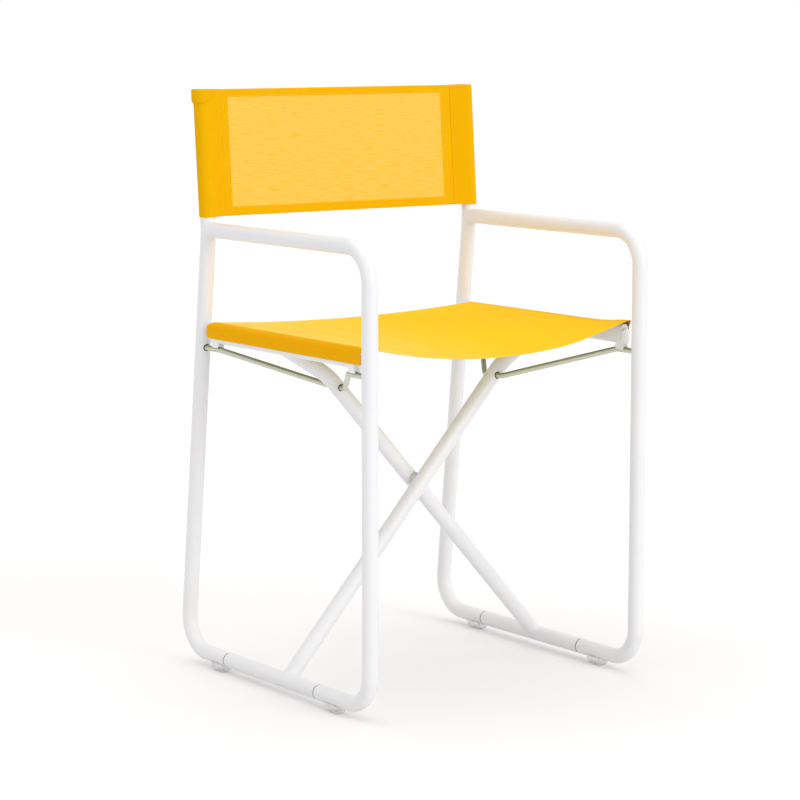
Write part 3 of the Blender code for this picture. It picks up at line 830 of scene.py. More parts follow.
@dataclass(frozen=True)
class HoleShadeRing:
    """A near-black ring of painted shade at a round hole in a tube, hugging the tube's surface.

    Attributes:
        outer: Outer radius, in radii of the link rod.
        inner: Inner radius, in radii of the link rod.
        rise: Height above the surface.
        root: Depth of the hidden part below it.
        brow: Height of the edge at the inner radius, as a share of the rise.
        skirt: Height of the edge at the outer radius, as a share of the rise.
        sides: Points around the hole.
    """

    outer: float
    inner: float = 0.9
    rise: float = 0.0003
    root: float = 0.0012
    brow: float = 0.6
    skirt: float = 0.15
    sides: int = 40

    def rings(self, centre: Array, rod_r: float, surface: Callable[[Array, Array], Array],
              lift: int) -> Array:
        """Carries a small closed profile of radius and height round the hole's axis, which is parallel to Y.

        Each point takes its height from the tube's surface above its X and Z.

        Args:
            centre: X and Z of the hole's axis.
            rod_r: Radius of the link rod.
            surface: Y of the tube's surface at X and Z.
            lift: Sign of Y that points out of the surface.

        Returns:
            Rings as profile point, corner, coordinate, to be closed on themselves.
        """
        inner, outer = self.inner * rod_r, self.outer * rod_r
        profile = np.array([(inner, -self.root), (inner, self.brow * self.rise),
                            ((inner + outer) / 2, self.rise), (outer, self.skirt * self.rise),
                            (outer, -self.root)])
        turn = around(self.sides)
        x = centre[0] + profile[:, :1] * np.cos(turn)
        z = centre[1] + profile[:, :1] * np.sin(turn)
        return merge(x, surface(x, z) + lift * profile[:, 1:], z)


@dataclass(frozen=True)
class Stitch:
    """Sewing stitches: short tubes of thread that rise out of the cloth and dive back.

    Attributes:
        radius: Thread radius.
        length: Length of a stitch.
        pitch: Distance from stitch to stitch.
        rings: Rings along a stitch.
        sides: Corners of a ring.
        rise: Height of its middle, in thread radii.
        dive: How far its ends drop from there, in thread radii.
        thin: Share of the radius that its ends lose.
    """

    radius: float = 0.00042
    length: float = 0.0026
    pitch: float = 0.0034
    rings: int = 5
    sides: int = 6
    rise: float = 0.75
    dive: float = 1.3
    thin: float = 0.55

    def row(self, start: Array, stop: Array, out: Array) -> Array:
        """A row of stitches whose height is r (rise - dive t^2) and whose radius is r (1 - thin t^2).

        Args:
            start: First end of the row.
            stop: Last end of the row.
            out: Unit direction out of the cloth.

        Returns:
            Points as stitch, ring, corner, coordinate.
        """
        along = unit(stop - start)
        across = np.cross(along, out)
        count = max(1, int(np.linalg.norm(stop - start) / self.pitch))
        place = start + ((np.arange(count) + 0.5) * self.pitch)[:, None] * along
        t = np.linspace(-1, 1, self.rings)
        turn = around(self.sides)[:, None]
        size = self.radius * (1 - self.thin * t**2)
        height = self.radius * (self.rise - self.dive * t**2)
        bow = t[:, None] * self.length / 2 * along + height[:, None] * out
        spoke = np.cos(turn) * across + np.sin(turn) * out
        return place[:, None, None] + bow[None, :, None] + size[None, :, None, None] * spoke[None, None]


def flat_oval(half_t: float, half_h: float, count: int = 24) -> Array:
    """Upright flat oval in X and Z: two half circles joined by straight sides.

    Args:
        half_t: Half its thickness, which is the half circles' radius.
        half_h: Half its height.
        count: Points on each half circle.

    Returns:
        The closed outline, one point in each row.
    """
    a = np.linspace(0, math.pi, count)
    top = merge(half_t * np.cos(a), half_h - half_t + half_t * np.sin(a))
    return np.concatenate([top, -top])


def outline_normals(outline: Array) -> Array:
    """Unit normals of a closed outline, to the right of its direction."""
    step = np.roll(outline, -1, 0) - np.roll(outline, 1, 0)
    return unit(merge(step[:, 1], -step[:, 0]))


def sheet_normals(grid: Array) -> Array:
    """Unit normals of a grid of points, from its differences along both parameters."""
    return unit(np.cross(np.gradient(grid, axis=0), np.gradient(grid, axis=1)))


def settle(obj: bpy.types.Object, body: str, slot: str, *nodes: str) -> None:
    """Lets a piece ride on a body and stand for CAD nodes.

    Args:
        obj: The piece.
        body: The body that it moves with.
        slot: Not used.
        *nodes: CAD nodes that it replaces, if any.
    """
    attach(obj, body)
    if nodes:
        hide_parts(*nodes)


def repaint(node: str, paint: Paint) -> None:
    """Gives a CAD node that stays in place one of the chair's finishes.

    Args:
        node: The node's name.
        paint: The finish.
    """
    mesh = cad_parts[node].data
    mesh.materials.clear()
    mesh.materials.append(paint.made)
    LOG.info("%s: kept, in %s", node, paint.value.name)


# Sub-assemblies


@dataclass(frozen=True)
class Layout:
    """Sizes that several sub-assemblies share, in metres; Y counts from the middle between the uprights."""

    gap: float = 0.0003
    tube_r: float = 0.011
    half_w: float = 0.2325
    rail_z: float = 0.0195
    arm_z: float = 0.635
    front_y: float = -0.197
    rear_y: float = 0.197
    heel_y: float = 0.264
    recline: float = math.radians(4.5)
    seam_front_y: float = -0.076
    seam_rear_y: float = 0.152
    # Half the width of the seam at each end of a turning sleeve, where a washer sits
    seam_room: float = 0.0009
    pivot_z: float = 0.278
    leg_front_y: float = 0.003
    leg_rear_y: float = 0.029
    # Distance of a link rod's hole from the crossing, along the leg
    hole_at: float = 0.192
    seat_z: float = 0.489
    seat_half_t: float = 0.0068
    seat_half_h: float = 0.0140
    seat_half_l: float = 0.1730
    seat_back_by: float = 0.0080
    rod_r: float = 0.004
    # Depth of the link rods' ends below the seat rails
    rod_below: float = 0.009

    @property
    def shift(self) -> float:
        """Y of the middle between the uprights."""
        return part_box("left_front_tube")[0].y - self.front_y + self.tube_r

    @property
    def seat_y(self) -> float:
        """Y of the middle of the seat rails."""
        return self.shift + self.seat_back_by

    @property
    def rod_z(self) -> float:
        """Height at which the link rods enter the uprights."""
        return self.seat_z - self.seat_half_h - self.rod_below

    @property
    def leg_up(self) -> Array:
        """Direction of a leg's straight part in X and Z, rising towards +X."""
        return unit(np.array([self.half_w, self.pivot_z - self.rail_z]))

    @property
    def hole(self) -> Array:
        """X and Z of the link rod hole in the leg that rises towards +X."""
        return np.array([0, self.pivot_z]) + self.hole_at * self.leg_up

    @property
    def heel_slant(self) -> float:
        """Lean of the rear upright below the arm."""
        return math.atan2(self.heel_y - self.rear_y, self.arm_z - self.rail_z)

    def post_y(self, z: Array | float) -> Array | float:
        """Y of a back post's axis at a height."""
        return self.shift + self.rear_y + (z - self.arm_z) * math.tan(self.recline)

    def sleeve_run(self, side: Side) -> Run:
        """Middle line of the turning sleeve on a bottom rail."""
        ends = [(self.seam_front_y + self.seam_room, 0), (self.seam_rear_y - self.seam_room, 0)]
        return Run.through(ends, [], Y_AXIS, Z_AXIS,
                           np.array([side.value * self.half_w, self.shift, self.rail_z]))


@dataclass
class SideFrame:
    """One side: rear upright, front hoop with the arm, rings of painted shade at the link rod's holes, and
    glides.
    """

    layout: Layout
    side: Side
    bend_r: float = 0.048
    kink_r: float = 0.14
    post_top_z: float = 0.8255
    fillet: Weld = Weld(0.0055)
    # Ring of painted shade at each of the link rod's holes
    edge: HoleShadeRing = HoleShadeRing(1.32)
    glide_y: dict[End, float] = field(default_factory=lambda: {End.FRONT: -0.115, End.REAR: 0.172})
    glide_half_w: float = 0.0106
    glide_lip: float = -0.0058
    glide_room: float = 0.0004
    # Play between a glide and the rail, as a share of the common gap
    glide_gap: float = 0.6
    glide_rings: int = 73
    glide_arc: int = 33
    bumps: int = 3
    bump_pitch: float = 0.009
    bump_flat: float = 0.0024
    bump_power: float = 1.7
    bump_groove: float = 0.0030
    groove_in: float = 0.0005
    # Power of the curve that gives a glide its squarish section
    bowl_power: float = 3.2

    @property
    def base(self) -> Array:
        """Origin of the frame's plane."""
        return np.array([self.side.value * self.layout.half_w, self.layout.shift, 0.0])

    def rear_run(self) -> Run:
        """Middle line of the rear tube, from the post's top to its seam on the bottom rail.

        Returns:
            The line.
        """
        lay = self.layout
        top_y = lay.rear_y + (self.post_top_z - lay.arm_z) * math.tan(lay.recline)
        corners = [(top_y, self.post_top_z), (lay.rear_y, lay.arm_z), (lay.heel_y, lay.rail_z),
                   (lay.seam_rear_y + lay.seam_room, lay.rail_z)]
        return Run.through(corners, [self.kink_r, self.bend_r], Y_AXIS, Z_AXIS, self.base)

    def front_run(self) -> Run:
        """Middle line of the front tube, from its seam round the front to the arm's end at the rear upright.

        Returns:
            The line.
        """
        lay = self.layout
        corners = [(lay.seam_front_y - lay.seam_room, lay.rail_z), (lay.front_y, lay.rail_z),
                   (lay.front_y, lay.arm_z), (lay.rear_y, lay.arm_z)]
        return Run.through(corners, [self.bend_r, self.bend_r], Y_AXIS, Z_AXIS, self.base)

    def tubes(self) -> None:
        """Builds the two bent tubes, with the arm's weld on the front one."""
        lay, word = self.layout, self.side.word
        rear = Skin.of(self.rear_run().rings(lay.tube_r))
        settle(rear.build(f"{word}_rear_upright", [Paint.COAT]), self.side.frame_body, "frame_white",
               f"{word}_rear_tube")
        front = Skin.of(self.front_run().rings(lay.tube_r))
        self.fillet.lay(front, self.base + (0, lay.rear_y, lay.arm_z), Y_AXIS, self.rear_run(), lay.tube_r)
        settle(front.build(f"{word}_front_hoop", [Paint.COAT]), self.side.frame_body, "frame_white",
               f"{word}_front_tube")

    def face_y(self, end: End, x: Array, z: Array) -> Array:
        """Y of an upright's inner face: its axis, moved by half the tube's chord over the cosine of its lean.

        Args:
            end: Front or rear upright.
            x: Places across the chair.
            z: Heights.

        Returns:
            Y at each place and height.
        """
        lay = self.layout
        at_arm, slant = (lay.front_y, 0.0) if end is End.FRONT else (lay.rear_y, lay.heel_slant)
        axis = lay.shift + at_arm + (lay.arm_z - z) * math.tan(slant)
        half_chord = np.sqrt(np.maximum(lay.tube_r**2 - (x - self.base[0]) ** 2, 0))
        return axis - end.value * half_chord / math.cos(slant)

    def hole_edges(self) -> None:
        """Builds the dark rings of painted shade at the holes that the link rod's ends enter."""
        lay = self.layout
        hole = np.array([self.base[0], lay.rod_z])
        rims = [self.edge.rings(hole, lay.rod_r, partial(self.face_y, end), -end.value) for end in End]
        settle(Skin.of(*rims, closed=True).build(f"{self.side.word}_upright_hole_edges", [Paint.EDGE]),
               self.side.frame_body, "zinc")

    def glides(self) -> None:
        """Builds the clear clips under the bottom rail: a hooked section whose depth changes in bumps.

        The outer section is a squarish bowl, |x|^p + |z|^p = 1, and the inner one is the rail's round.
        """
        lay = self.layout
        reach = self.bumps / 2 * self.bump_pitch
        u = np.linspace(self.glide_room - reach, reach - self.glide_room, self.glide_rings)
        near = np.abs((u + reach) % self.bump_pitch - self.bump_pitch / 2)
        slope = (near - self.bump_flat) / (self.bump_pitch / 2 - self.bump_flat)
        dip = np.clip(slope, 0, 1) ** self.bump_power
        grip = lay.tube_r + self.glide_gap * lay.gap
        a = np.linspace(0, math.pi, self.glide_arc)
        cosine, power = np.cos(a), 2 / self.bowl_power
        bowl = merge(np.sign(cosine) * np.abs(cosine) ** power, np.sin(a) ** power)
        depth = lay.rail_z + self.glide_lip - self.bump_groove * dip
        width = self.glide_half_w - self.groove_in * dip
        outer = merge(width[:, None] * bowl[:, 0], self.glide_lip - depth[:, None] * bowl[:, 1])
        hold = math.asin(-self.glide_lip / grip)
        b = hold + (math.pi - 2 * hold) * a / math.pi
        inner = merge(grip * np.cos(b), -grip * np.sin(b))[::-1]
        loop = np.concatenate([outer, np.broadcast_to(inner, (len(u), *inner.shape))], 1)
        for end, y in self.glide_y.items():
            rings = merge(self.base[0] + loop[..., 0], (self.base[1] + y + u)[:, None],
                          lay.rail_z + loop[..., 1])
            word = f"{self.side.word}_{end.word}_glide"
            settle(Skin.of(rings).build(f"{word}_clip", [Paint.CLEAR]), self.side.frame_body, "clear_plastic",
                   word)

    def build(self) -> None:
        """Builds the whole side."""
        self.tubes()
        self.hole_edges()
        self.glides()
        repaint(f"{self.side.word}_inner_tube", Paint.COAT)
        repaint(f"{self.side.word}_post_plug", Paint.ACETAL)


@dataclass
class CrossedLeg:
    """A leg with its turning sleeve: from one bottom rail over the crossing to the other side's seat rail."""

    layout: Layout
    side: Side
    y: float
    name: str
    shin_l: float = 0.0932
    knee_r: float = 0.115
    squeeze: float = 0.8
    # Height of the toe over the rail's underside, in pressed radii
    toe_up: float = 1.15
    sunk: float = 0.0045
    tail_steps: int = 9
    fillet: Weld = Weld(0.0050)
    # Ring of painted shade at the link rod's hole
    edge: HoleShadeRing = HoleShadeRing(1.3)

    @property
    def foot_side(self) -> Side:
        """The side that its foot turns on."""
        return Side.LEFT if self.side is Side.RIGHT else Side.RIGHT

    @property
    def toe(self) -> Array:
        """X and Z of its end at the seat rail, as for a leg that rises towards +X."""
        lay = self.layout
        return np.array([lay.half_w - lay.seat_half_t,
                         lay.seat_z - lay.seat_half_h + self.toe_up * self.squeeze * lay.tube_r])

    def run(self) -> Run:
        """Middle line: straight up to the knee, whose corner lies one shin away from the toe, then outwards.

        Returns:
            The line.
        """
        lay = self.layout
        crossing = np.array([0, lay.pivot_z])
        along = float((self.toe - crossing) @ lay.leg_up)
        aside = float(np.linalg.norm(self.toe - crossing - along * lay.leg_up))
        knee = crossing + (along - math.sqrt(self.shin_l**2 - aside**2)) * lay.leg_up
        return Run.through([(-lay.half_w, lay.rail_z), knee, self.toe], [self.knee_r],
                           self.side.value * X_AXIS, Z_AXIS, np.array([0, lay.shift + self.y, 0]))

    def leg(self) -> None:
        """Builds the leg with the weld on its sleeve.

        Past the knee the circles pass evenly into the end: the last circle slid along the leg onto an upright
        plane just inside the seat rail, and pressed flatter about the leg's axis.
        """
        lay, run = self.layout, self.run()
        rings = run.rings(lay.tube_r)[:-len(QUARTER)]
        shin, shoulder = run.tangent[-1], rings[-1]
        stop = run.centre[-1] + self.sunk / abs(shin[0]) * shin
        end = shoulder + ((stop - shoulder) @ X_AXIS / shin[0])[:, None] * shin
        end = end + (self.squeeze - 1) * ((end - stop) @ Z_AXIS)[:, None] * Z_AXIS
        tail = shoulder + np.linspace(0, 1, self.tail_steps)[1:, None, None] * (end - shoulder)
        skin = Skin.of(np.concatenate([rings, tail]))
        foot = np.array([self.foot_side.value * lay.half_w, lay.shift + self.y, lay.rail_z])
        self.fillet.lay(skin, foot, -run.tangent[0], lay.sleeve_run(self.foot_side), lay.tube_r)
        settle(skin.build(f"{self.name}_tube", [Paint.COAT]), self.name, "frame_white", self.name)

    def sleeve(self) -> None:
        """Builds the turning sleeve; the nylon washers at its ends stay as they are."""
        lay, word = self.layout, self.foot_side.word
        skin = Skin.of(lay.sleeve_run(self.foot_side).rings(lay.tube_r))
        settle(skin.build(f"{word}_turning_sleeve", [Paint.COAT]), self.name, "frame_white", f"{word}_sleeve")
        for end in End:
            repaint(f"{word}_{end.word}_washer", Paint.NYLON)

    def face_y(self, lift: int, x: Array, z: Array) -> Array:
        """Y of the leg's round: its axis moved by half the tube's chord that far off the leg's line.

        Args:
            lift: Sign of Y on which the face lies.
            x: Places across the chair.
            z: Heights.

        Returns:
            Y at each place and height.
        """
        lay = self.layout
        across = np.array([-lay.leg_up[1] * self.side.value, lay.leg_up[0]])
        off = x * across[0] + (z - lay.pivot_z) * across[1]
        return lay.shift + self.y + lift * np.sqrt(np.maximum(lay.tube_r**2 - off**2, 0))

    def hole_edges(self) -> None:
        """Builds the dark rings of painted shade at the hole that the link rod turns in."""
        lay = self.layout
        hole = lay.hole * (self.side.value, 1)
        rims = [self.edge.rings(hole, lay.rod_r, partial(self.face_y, lift), lift) for lift in (-1, 1)]
        settle(Skin.of(*rims, closed=True).build(f"{self.name}_hole_edges", [Paint.EDGE]), self.name, "zinc")

    def build(self) -> None:
        """Builds the leg and what is fixed to it."""
        self.leg()
        self.sleeve()
        self.hole_edges()


@dataclass
class SeatRail:
    """A flat-oval seat rail with a moulded saddle at each end that sits on the link rod."""

    layout: Layout
    side: Side
    round_r: float = 0.0012
    # How far a rounded face is drawn in, as a share of the rounding
    round_in: float = 0.8
    face_h: float = 0.0108
    face_t: float = 0.0046
    foot_in: float = 0.0120
    foot_back: float = 0.0012
    foot_top: float = 0.0055
    # Half width of the foot's top, as a share of the rail's
    foot_share: float = 0.97
    jaw_t: float = 0.0010
    # Heights of the jaws' ends over the rod's axis, in rod radii
    inner_jaw: float = 0.25
    outer_jaw: float = 0.7
    notch_steps: int = 17
    taper: float = 0.0060
    taper_up: float = 0.0035

    def rail(self) -> None:
        """Builds the rail: a flat oval carried along Y."""
        lay, word = self.layout, self.side.word
        oval = flat_oval(lay.seat_half_t, lay.seat_half_h)
        y = lay.seat_y + np.array([[end.value] for end in End]) * lay.seat_half_l
        rings = merge(self.side.value * lay.half_w + oval[:, 0], y, lay.seat_z + oval[:, 1])
        settle(Skin.of(rings).build(f"{word}_rail", [Paint.COAT]), self.side.rail_body, "frame_white",
               f"{word}_seat_rail")

    def foot(self) -> Array:
        """The saddle's foot in X and Z: a top in the rail, a long inner jaw, a notch and a short outer jaw.

        The notch is an arc of the rod's circle with its gap, between the heights at which the two jaws end.

        Returns:
            The closed outline about the rail's axis.
        """
        lay = self.layout
        notch, rod = lay.rod_r + lay.gap, lay.rod_z - lay.seat_z
        inner_low, outer_low = self.inner_jaw * lay.rod_r, self.outer_jaw * lay.rod_r
        bow = np.linspace(math.asin(outer_low / notch), math.pi - math.asin(inner_low / notch),
                          self.notch_steps)
        arch = merge(notch * np.cos(bow), rod + notch * np.sin(bow))
        top, half = self.foot_top - lay.seat_half_h, self.foot_share * lay.seat_half_t
        jaw_x = arch[0, 0] + self.jaw_t
        taper_z = self.taper_up - lay.seat_half_h
        jaw = [(jaw_x, rod + outer_low), (jaw_x, taper_z - self.taper), (lay.seat_half_t, taper_z)]
        crown = [(half, top), (-half, top), (-lay.seat_half_t, rod + inner_low)]
        return np.concatenate([crown, arch[::-1], jaw])

    def block(self, outline: Array, near: float, far: float, end: End) -> Array:
        """An outline carried along Y and drawn in by a quarter round at both faces.

        Args:
            outline: Closed outline in X and Z about the rail's axis.
            near: Distance of the inner face from the rail's middle.
            far: Distance of the outer face.
            end: The rail's end.

        Returns:
            Points as station, corner, coordinate.
        """
        lay = self.layout
        inset = self.round_r * (1 - np.sin(np.concatenate([QUARTER, QUARTER[::-1]])))
        back = self.round_r * (1 - np.cos(QUARTER))
        y = end.value * np.concatenate([near + back, (far - back)[::-1]])
        loop = outline[None] - self.round_in * inset[:, None, None] * outline_normals(outline)
        return merge(self.side.value * (lay.half_w + loop[..., 0]), (lay.seat_y + y)[:, None],
                     lay.seat_z + loop[..., 1])

    def saddles(self) -> None:
        """Builds the saddles: a round-ended cap on the rail's end, and a foot below that grips the rod."""
        lay = self.layout
        face = flat_oval(lay.seat_half_t, self.face_h) + (0, self.face_h - lay.seat_half_h)
        far = lay.seat_half_l + self.face_t
        for end in End:
            skin = Skin.of(self.block(face, lay.seat_half_l + lay.gap, far, end),
                           self.block(self.foot(), lay.seat_half_l - self.foot_in, far - self.foot_back, end))
            word = f"{self.side.word}_{end.word}_saddle"
            settle(skin.build(f"{word}_cap", [Paint.CAP]), self.side.rail_body, "white_plastic", word)

    def build(self) -> None:
        """Builds the rail and its saddles."""
        self.rail()
        self.saddles()


@dataclass
class LinkRod:
    """A wire bail that turns in a leg's hole and reaches to both uprights of its side."""

    layout: Layout
    side: Side
    leg_y: float
    end_l: float = 0.036
    end_room: float = 0.0012
    mid_l: float = 0.020
    bend_r: float = 0.012
    bend_step: float = math.radians(5)
    into: float = 0.007
    sides: int = 32
    edge: float = 0.0005
    # Heights over the wire's axis between which its painted reflection sets in, in radii
    reflection_from: float = 0.2
    reflection_to: float = 0.6

    def build(self) -> None:
        """Builds the rod: a wire carried along its cranked line, its ends run on into the uprights."""
        lay, sign, word = self.layout, self.side.value, self.side.word
        hinge = np.array([sign * lay.hole[0], lay.shift + self.leg_y, lay.hole[1]])
        crank = np.array([sign * lay.half_w, hinge[1], lay.rod_z]) - hinge
        reach = float(np.linalg.norm(crank))
        front = lay.front_y + lay.tube_r - self.into - self.leg_y
        upright = lay.rear_y + (lay.arm_z - lay.rod_z) * math.tan(lay.heel_slant)
        rear = upright - lay.tube_r + self.into - self.leg_y
        bend_front = lay.front_y + lay.tube_r + self.end_room + self.end_l - self.leg_y
        bend_rear = rear - self.into - self.end_room - self.end_l
        corners = [(front, reach), (bend_front, reach), (-self.mid_l, 0), (self.mid_l, 0), (bend_rear, reach),
                   (rear, reach)]
        run = Run.through(corners, [self.bend_r] * 4, Y_AXIS, crank / reach, hinge, self.bend_step)
        rings = run.rings(lay.rod_r, self.sides, self.edge)
        rise = (rings - rings.mean(1, keepdims=True))[..., 2] / lay.rod_r
        skin = Skin()
        # The mark is the share of the painted reflection on the wire's upper side
        skin.tube(rings, mark=smooth(rise, self.reflection_from, self.reflection_to))
        settle(skin.build(f"{word}_link_wire", [Paint.ZINC]), f"{word}_rod", "zinc", f"{word}_link_rod")


@dataclass
class Crossing:
    """The legs' pivot: a saddle washer bedded on each leg, and a bolt from behind."""

    layout: Layout
    washer_r: float = 0.0100
    washer_sides: int = 64
    bore_r: float = 0.0033
    rim: float = 0.0019
    # Play at the leg and at the meeting face, as shares of the common gap
    bed_gap: float = 0.5
    face_gap: float = 0.7
    bolt_r: float = 0.003
    bolt_sides: int = 72
    tip_in: float = 0.004
    head_r: float = 0.0064
    head_h: float = 0.0036
    head_edge: float = 0.0006
    dome: float = math.radians(62)
    dome_steps: int = 9
    socket_r: float = 0.0024
    socket_d: float = 0.0018
    # The drilled end of the socket: its radius and depth as shares of the socket's
    cone_r: float = 0.3
    cone_d: float = 1.15

    def washer(self, body: str, y: float, way: int) -> None:
        """Builds one washer: flat on the meeting face, and hollowed to the leg's round on the other.

        Args:
            body: The leg that it beds on.
            y: That leg's axis.
            way: Sign of Y from that leg to the other.
        """
        lay, word = self.layout, body.split("_")[0]
        middle = lay.shift + (lay.leg_front_y + lay.leg_rear_y) / 2
        radius = np.concatenate([[self.bore_r], self.washer_r - self.rim * (1 - np.sin(QUARTER)),
                                 [self.washer_r], [self.bore_r]])
        turn = around(self.washer_sides)
        x, z = radius[:, None] * np.cos(turn), radius[:, None] * np.sin(turn)
        across = np.array([-lay.leg_up[1] * way, lay.leg_up[0]])
        off = x * across[0] + z * across[1]
        bed = lay.shift + y + way * np.sqrt((lay.tube_r + self.bed_gap * lay.gap) ** 2 - off**2)
        face = middle - way * self.face_gap * lay.gap
        back = np.concatenate([[0], self.rim * (1 - np.cos(QUARTER)), [0, 0]])
        # The last two circles of the profile lie on the leg
        on_leg = np.arange(len(radius))[:, None] >= len(radius) - 2
        level = np.where(on_leg, bed, (face - way * back)[:, None])
        skin = Skin.of(merge(x, level, lay.pivot_z + z), closed=True)
        settle(skin.build(f"{word}_crossing_spacer", [Paint.ACETAL]), body, "grey_plastic",
               f"{word}_saddle_washer")

    def bolt(self) -> None:
        """Builds the bolt: a turned profile with a domed head, and in it a socket with six flats.

        The socket's radius is a flat's distance from the axis over the cosine of the turn from its middle.
        """
        lay = self.layout
        seat = lay.shift + lay.leg_rear_y + lay.tube_r
        top = seat + self.head_h
        a = np.linspace(0, self.dome, self.dome_steps)
        dome = seat + self.head_edge + (self.head_h - self.head_edge) * np.sin(a) / np.sin(a[-1])
        tip = lay.shift + lay.leg_front_y + self.tip_in
        body = np.concatenate([[(self.bolt_r, tip), (self.bolt_r, seat), (self.head_r, seat)],
                               merge(self.head_r * np.cos(a), dome)])
        turn = around(self.bolt_sides)
        hexagon = self.socket_r / np.cos(turn % (math.pi / 3) - math.pi / 6)
        radius = np.concatenate([np.repeat(body[:, :1], self.bolt_sides, 1),
                                 [hexagon, hexagon, self.cone_r * hexagon]])
        y = np.concatenate([body[:, 1], [top, top - self.socket_d, top - self.cone_d * self.socket_d]])
        rings = merge(radius * np.cos(turn), y[:, None], lay.pivot_z + radius * np.sin(turn))
        settle(Skin.of(rings).build("crossing_bolt", [Paint.ZINC]), "front_leg", "zinc", "pivot_bolt")

    def build(self) -> None:
        """Builds the crossing's pieces."""
        self.washer("front_leg", self.layout.leg_front_y, 1)
        self.washer("rear_leg", self.layout.leg_rear_y, -1)
        self.bolt()
        repaint("pivot_insert", Paint.ZINC)


@dataclass
class Seat:
    """The seat: one sheet of mesh cloth folded over both rails, hanging deeper at the front than behind."""

    layout: Layout
    thickness: float = 0.0010
    front_l: float = 0.1905
    rear_l: float = 0.1765
    skew_left: float = 0.0050
    skew_right: float = 0.0080
    lobe: float = 0.0085
    lobe_at: float = 0.0065
    # Half widths of a flap's rear lobe, and how far the hem reaches back at the right, as a share of the lobe
    lobe_out: float = 0.0085
    lobe_in: float = 0.016
    lobe_skew: float = 0.9
    cut: float = 0.0090
    # Lengths from the right edge between which the cut sets in
    cut_from: float = 0.024
    cut_to: float = 0.012
    hem_drop: float = 0.0070
    sag_front: float = 0.0300
    sag_rear: float = 0.0086
    # Shares of the cloth's length between which the sag changes
    sag_span: tuple[float, float] = (-0.15, 1.05)
    power: float = 2.0
    lift: float = 0.0050
    lift_l: float = 0.040
    # Shares of the half width between which the front hem lifts
    lift_span: tuple[float, float] = (0.45, 0.95)
    # Heights about the rail's crown between which the right flap lets go
    hold_span: tuple[float, float] = (-0.012, 0.004)
    # Lengths from a side edge between which the doubled part ends
    fold_span: tuple[float, float] = (0.0315, 0.0330)
    # X past which the cloth moves wholly with one leg, on either side
    turn_from: float = 0.222
    edge: float = 0.0006
    # Rows that round an edge: distances in edge widths, and shares of the thickness
    edge_at: tuple[float, ...] = (0.0, 0.35, 1.0, 2.4)
    edge_t: tuple[float, ...] = (0.35, 0.75, 0.95, 1.0)
    rows: int = 63
    flap_steps: int = 9
    round_steps: int = 19
    hang_steps: int = 91
    passes: int = 4

    @property
    def crown_z(self) -> float:
        """Height of the middle of the rails' rounded tops."""
        return self.layout.seat_z + self.layout.seat_half_h - self.layout.seat_half_t

    @property
    def inset(self) -> Array:
        """Distances from an edge of the rows that round it."""
        return np.array(self.edge_at) * self.edge

    def reach(self, across: Array) -> tuple[Array, Array]:
        """How far the cloth reaches to the front and the rear.

        The front hem runs a little askew, further out at the left than at the right, and is cut back down the
        right flap. At the rear, each flap reaches past the hem in half an ellipse, and the hem itself reaches
        further back towards the right.

        Args:
            across: Lengths across the cloth from its left edge.

        Returns:
            The reach to the front and the reach to the rear.
        """
        width = across[-1]
        share = across / width
        inward = np.minimum(across, width - across) - self.lobe_at
        bow = np.sqrt(np.clip(1 - (inward / np.where(inward < 0, self.lobe_out, self.lobe_in)) ** 2, 0, 1))
        cut = self.cut * smooth(across, width - self.cut_from, width - self.cut_to)
        return (self.front_l + self.skew_left - (self.skew_left + self.skew_right) * share - cut,
                self.rear_l + self.lobe * np.maximum(bow, self.lobe_skew * share))

    def profile(self, v: Array) -> Array:
        """Works out the cloth's line across the chair.

        It climbs the rail's outer side, follows the half circle over its top, leaves it on a tangent, and
        hangs as z = top - sag (1 - |x / h|^p), mirrored on the other rail. The sag runs from its front to its
        rear value.

        Args:
            v: Shares of the cloth's length, 0 at the front hem and 1 at the rear one.

        Returns:
            X and Z as share, point across, coordinate.
        """
        lay = self.layout
        r = lay.seat_half_t + lay.gap + self.thickness / 2
        sag = self.sag_front + (self.sag_rear - self.sag_front) * smooth(v, *self.sag_span)
        h = np.full_like(v, lay.half_w)
        # The tangent's angle and the half span depend on each other, so they are worked out in turns
        for _ in range(self.passes):
            alpha = np.arctan(self.power * sag / h)
            h = lay.half_w - r * np.sin(alpha)
        climb = np.linspace(-self.hem_drop - (self.crown_z - lay.seat_z), 0, self.flap_steps)
        climb = np.concatenate([climb[0] + self.inset[:-1], climb[1:]])
        a = np.pi + (np.pi / 2 - alpha - np.pi)[:, None] * np.linspace(0, 1, self.round_steps)[1:]
        flap = merge(np.full((len(v), 1), -lay.half_w - r), self.crown_z + climb)
        arc = merge(-lay.half_w + r * np.cos(a), self.crown_z + r * np.sin(a))
        s = np.linspace(-1, 1, self.hang_steps)[1:-1]
        top = self.crown_z + r * np.cos(alpha)
        hang = merge(h[:, None] * s, top[:, None] - sag[:, None] * (1 - np.abs(s) ** self.power))
        left = np.concatenate([flap, arc], 1)
        return np.concatenate([left, hang, left[:, ::-1] * (-1, 1)], 1)

    def grid(self) -> tuple[Array, Array, Array]:
        """Works out the sheet's middle surface: the profile carried from hem to hem.

        Towards the right the front hem stands up a little off the rail, by a bell curve exp(-(y / l)^2).

        Returns:
            The points, their places on the flat cloth, and the layer mark.
        """
        lay = self.layout
        part = self.inset / (self.front_l + self.rear_l)
        v = np.concatenate([part, np.linspace(0, 1, self.rows)[1:-1], 1 - part[::-1]])
        profile = self.profile(v)
        x, z = profile[..., 0], profile[..., 1]
        across = lengths(profile[len(v) // 2])
        front, rear = self.reach(across)
        y = -front + v[:, None] * (front + rear)
        loose = np.exp(-((y + front) / self.lift_l) ** 2) * smooth(x / lay.half_w, *self.lift_span)
        held = np.where(x > lay.half_w, smooth(z - self.crown_z, *self.hold_span), 1)
        grid = merge(x, lay.seat_y + y, z + self.lift * loose * held)
        over = 1 - smooth(np.minimum(across, across[-1] - across), *self.fold_span)
        return grid, merge(across, y), np.broadcast_to(over, grid.shape[:2])

